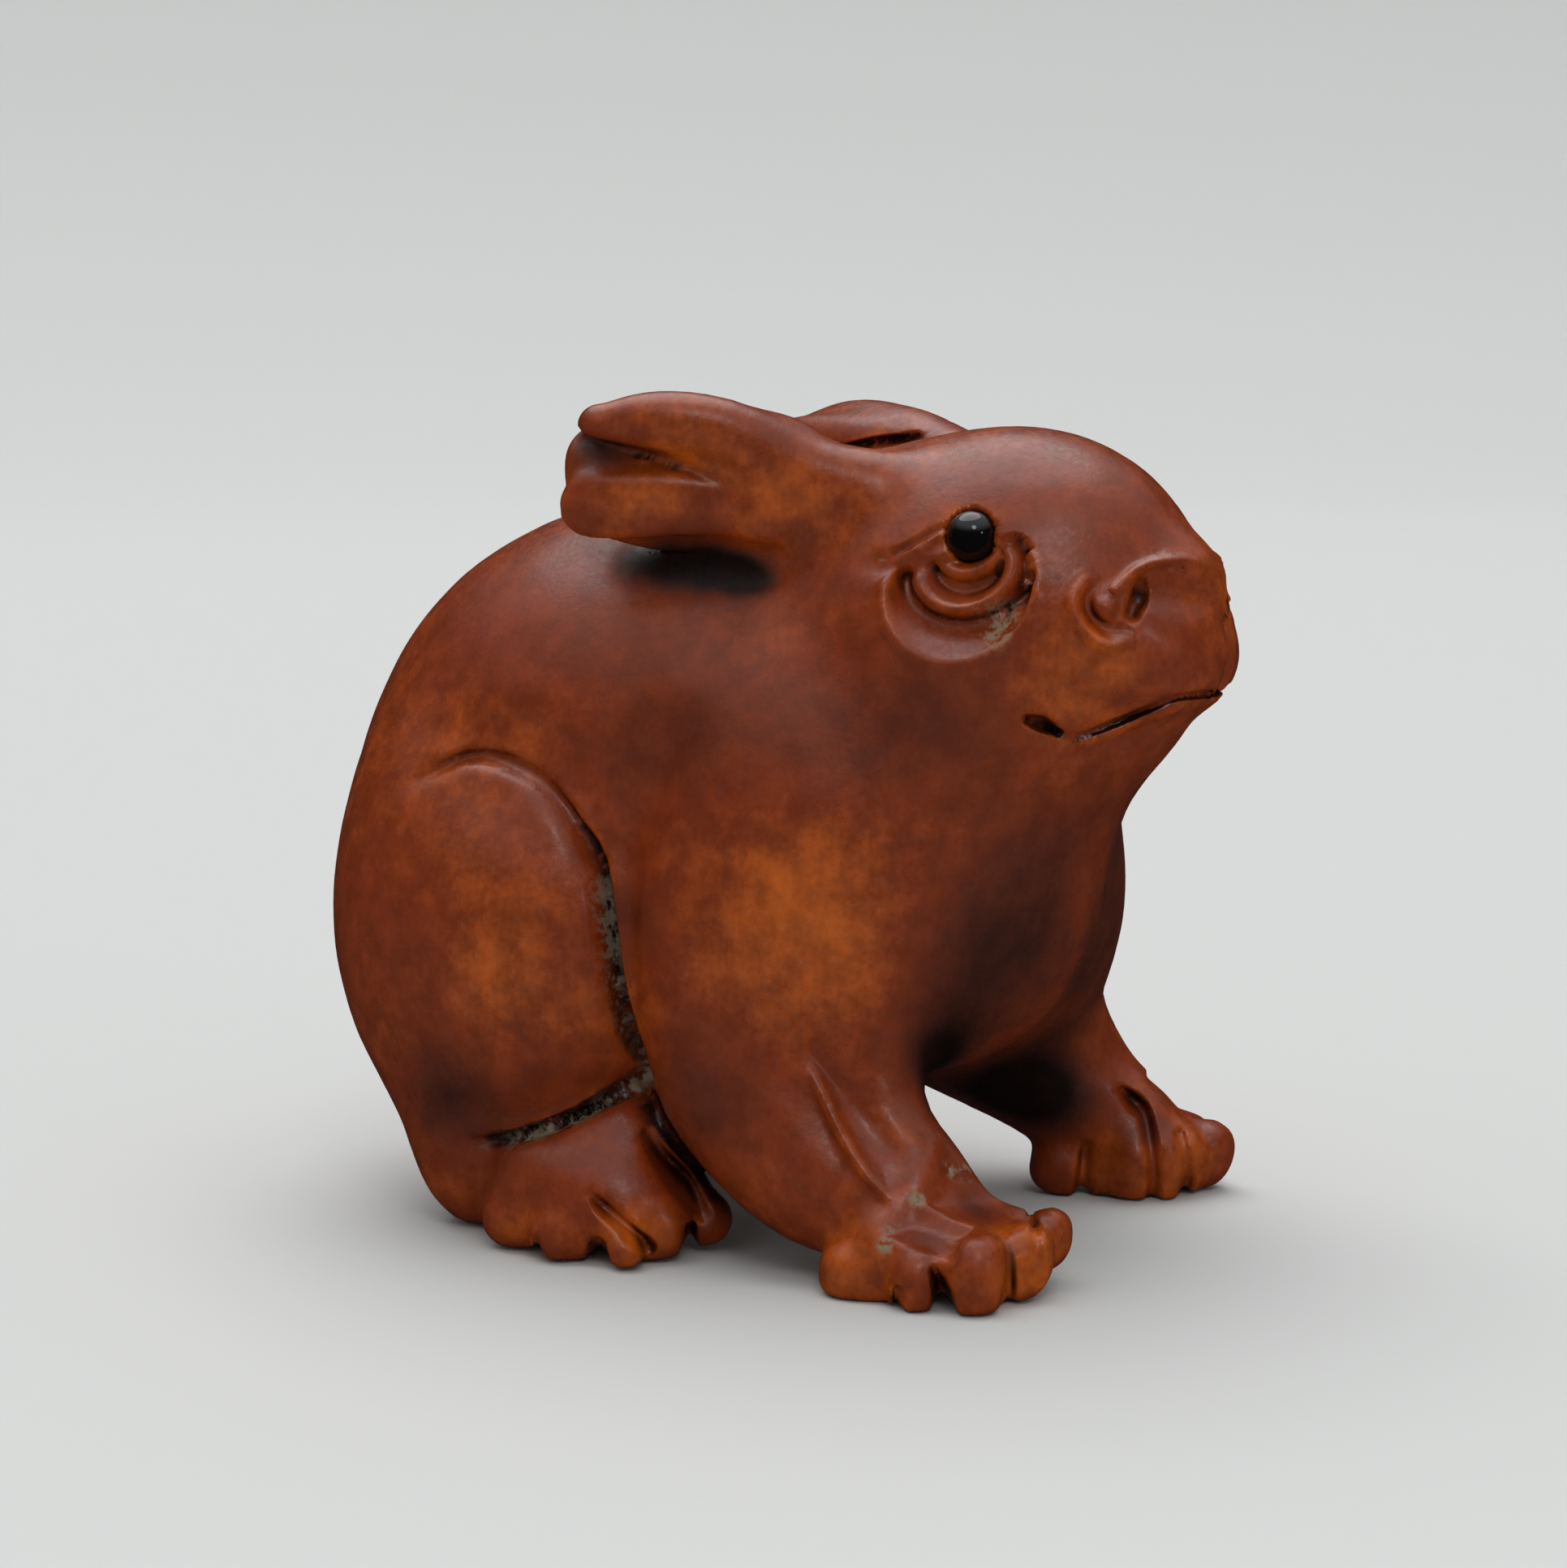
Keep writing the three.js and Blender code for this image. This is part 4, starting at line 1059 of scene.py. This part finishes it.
class NETSUKE_OT_build_stage(bpy.types.Operator):
    """Lay the pale floor, hang the soft lights and place the camera"""
    bl_idname = "netsuke.build_stage"
    bl_label = "Build the stage"

    def execute(self, context):
        stage = context.scene.netsuke_stage
        self.lay_floor(context, stage)
        self.hang_lights(context)
        self.place_camera(context)
        return {"FINISHED"}

    def lay_floor(self, context, stage):
        deselect_all()
        bpy.ops.mesh.primitive_circle_add(vertices=96, radius=stage.floor_radius, fill_type="NGON")
        floor = context.object
        floor.name = floor.data.name = "paper_floor"
        bpy.ops.object.mode_set(mode="EDIT")
        bpy.ops.mesh.select_all(action="SELECT")
        rise, radius = 0.0, stage.floor_radius
        for n in range(1, SWEEP_STEPS + 1):
            angle = math.pi / 2 * n / SWEEP_STEPS
            bpy.ops.mesh.extrude_region_move()
            wider = stage.floor_radius + stage.wall_height * math.sin(angle)
            higher = stage.wall_height * (1 - math.cos(angle))
            bpy.ops.transform.resize(value=(wider / radius, wider / radius, 1))
            bpy.ops.transform.translate(value=(0, 0, higher - rise))
            rise, radius = higher, wider
        bpy.ops.mesh.delete(type="ONLY_FACE")
        bpy.ops.mesh.select_all(action="SELECT")
        bpy.ops.mesh.flip_normals()
        bpy.ops.object.mode_set(mode="OBJECT")
        bpy.ops.object.shade_smooth()
        floor.data.materials.append(pale_paper(stage))
        floor.visible_glossy = False

    def hang_lights(self, context):
        # A bright ceiling over a dark room: it shows in the gloss of surfaces that face up.
        world = bpy.data.worlds.new("bright_ceiling")
        context.scene.world = world
        world.use_nodes = True
        tree = world.node_tree
        place = add(tree, "ShaderNodeTexCoord").outputs["Generated"]
        height = add(tree, "ShaderNodeSeparateXYZ", {}, {"Vector": place}).outputs["Z"]
        strength = rescale(tree, height, CEILING_LOW, CEILING_HIGH, CEILING_DARK, CEILING_BRIGHT)
        background = tree.nodes["Background"]
        background.inputs["Color"].default_value = opaque(linear("#f2f4f6"))
        tree.links.new(strength, background.inputs["Strength"])
        for softbox in SOFTBOXES:
            self.hang_softbox(context, *softbox)

    def hang_softbox(self, context, name, place, size, power):
        deselect_all()
        bpy.ops.object.light_add(type="AREA", location=place)
        light = context.object
        light.name = light.data.name = name
        light.data.shape = "DISK"
        light.data.size = size
        light.data.energy = power
        toward = LIT_POINT - Vector(place)
        light.rotation_euler = toward.to_track_quat("-Z", "Y").to_euler()

    def place_camera(self, context):
        deselect_all()
        pitch, yaw = math.radians(90 - CAMERA_DIP), math.radians(CAMERA_TURN)
        eye = Vector(CAMERA_PLACE) * MM
        bpy.ops.object.camera_add(location=eye, rotation=(pitch, 0, yaw))
        camera = context.object
        camera.name = camera.data.name = "photo_camera"
        camera.data.sensor_width = SENSOR_WIDTH
        camera.data.lens = SENSOR_WIDTH * FOCAL_PIXELS / PICTURE_PIXELS
        camera.data.clip_start = 0.01
        context.scene.camera = camera


class NETSUKE_PT_panel(bpy.types.Panel):
    bl_idname = "NETSUKE_PT_panel"
    bl_label = "Rabbit netsuke"
    bl_space_type = "VIEW_3D"
    bl_region_type = "UI"
    bl_category = "Netsuke"

    def draw(self, context):
        for group, operators in STEPS:
            column = self.layout.column()
            settings = getattr(context.scene, group)
            for name in settings.__annotations__:
                column.prop(settings, name)
            for operator in operators:
                column.operator(operator)


GROUPS = {
    "netsuke_figure": FigureSettings,
    "netsuke_finish": FinishSettings,
    "netsuke_eyes": EyeSettings,
    "netsuke_stage": StageSettings,
}
STEPS = (
    ("netsuke_figure", ()),
    ("netsuke_finish", ("netsuke.carve_figure",)),
    ("netsuke_eyes", ("netsuke.set_eyes",)),
    ("netsuke_stage", ("netsuke.build_stage",)),
)
CLASSES = (*GROUPS.values(), NETSUKE_OT_carve_figure, NETSUKE_OT_set_eyes, NETSUKE_OT_build_stage,
           NETSUKE_PT_panel)


def register():
    for item in CLASSES:
        bpy.utils.register_class(item)
    for name, group in GROUPS.items():
        setattr(bpy.types.Scene, name, PointerProperty(type=group))


def unregister():
    for name in GROUPS:
        delattr(bpy.types.Scene, name)
    for item in reversed(CLASSES):
        bpy.utils.unregister_class(item)


def main():
    register()
    bpy.context.scene.view_settings.view_transform = "Standard"
    bpy.ops.netsuke.carve_figure()
    bpy.ops.netsuke.set_eyes()
    bpy.ops.netsuke.build_stage()


if __name__ == "__main__":
    main()
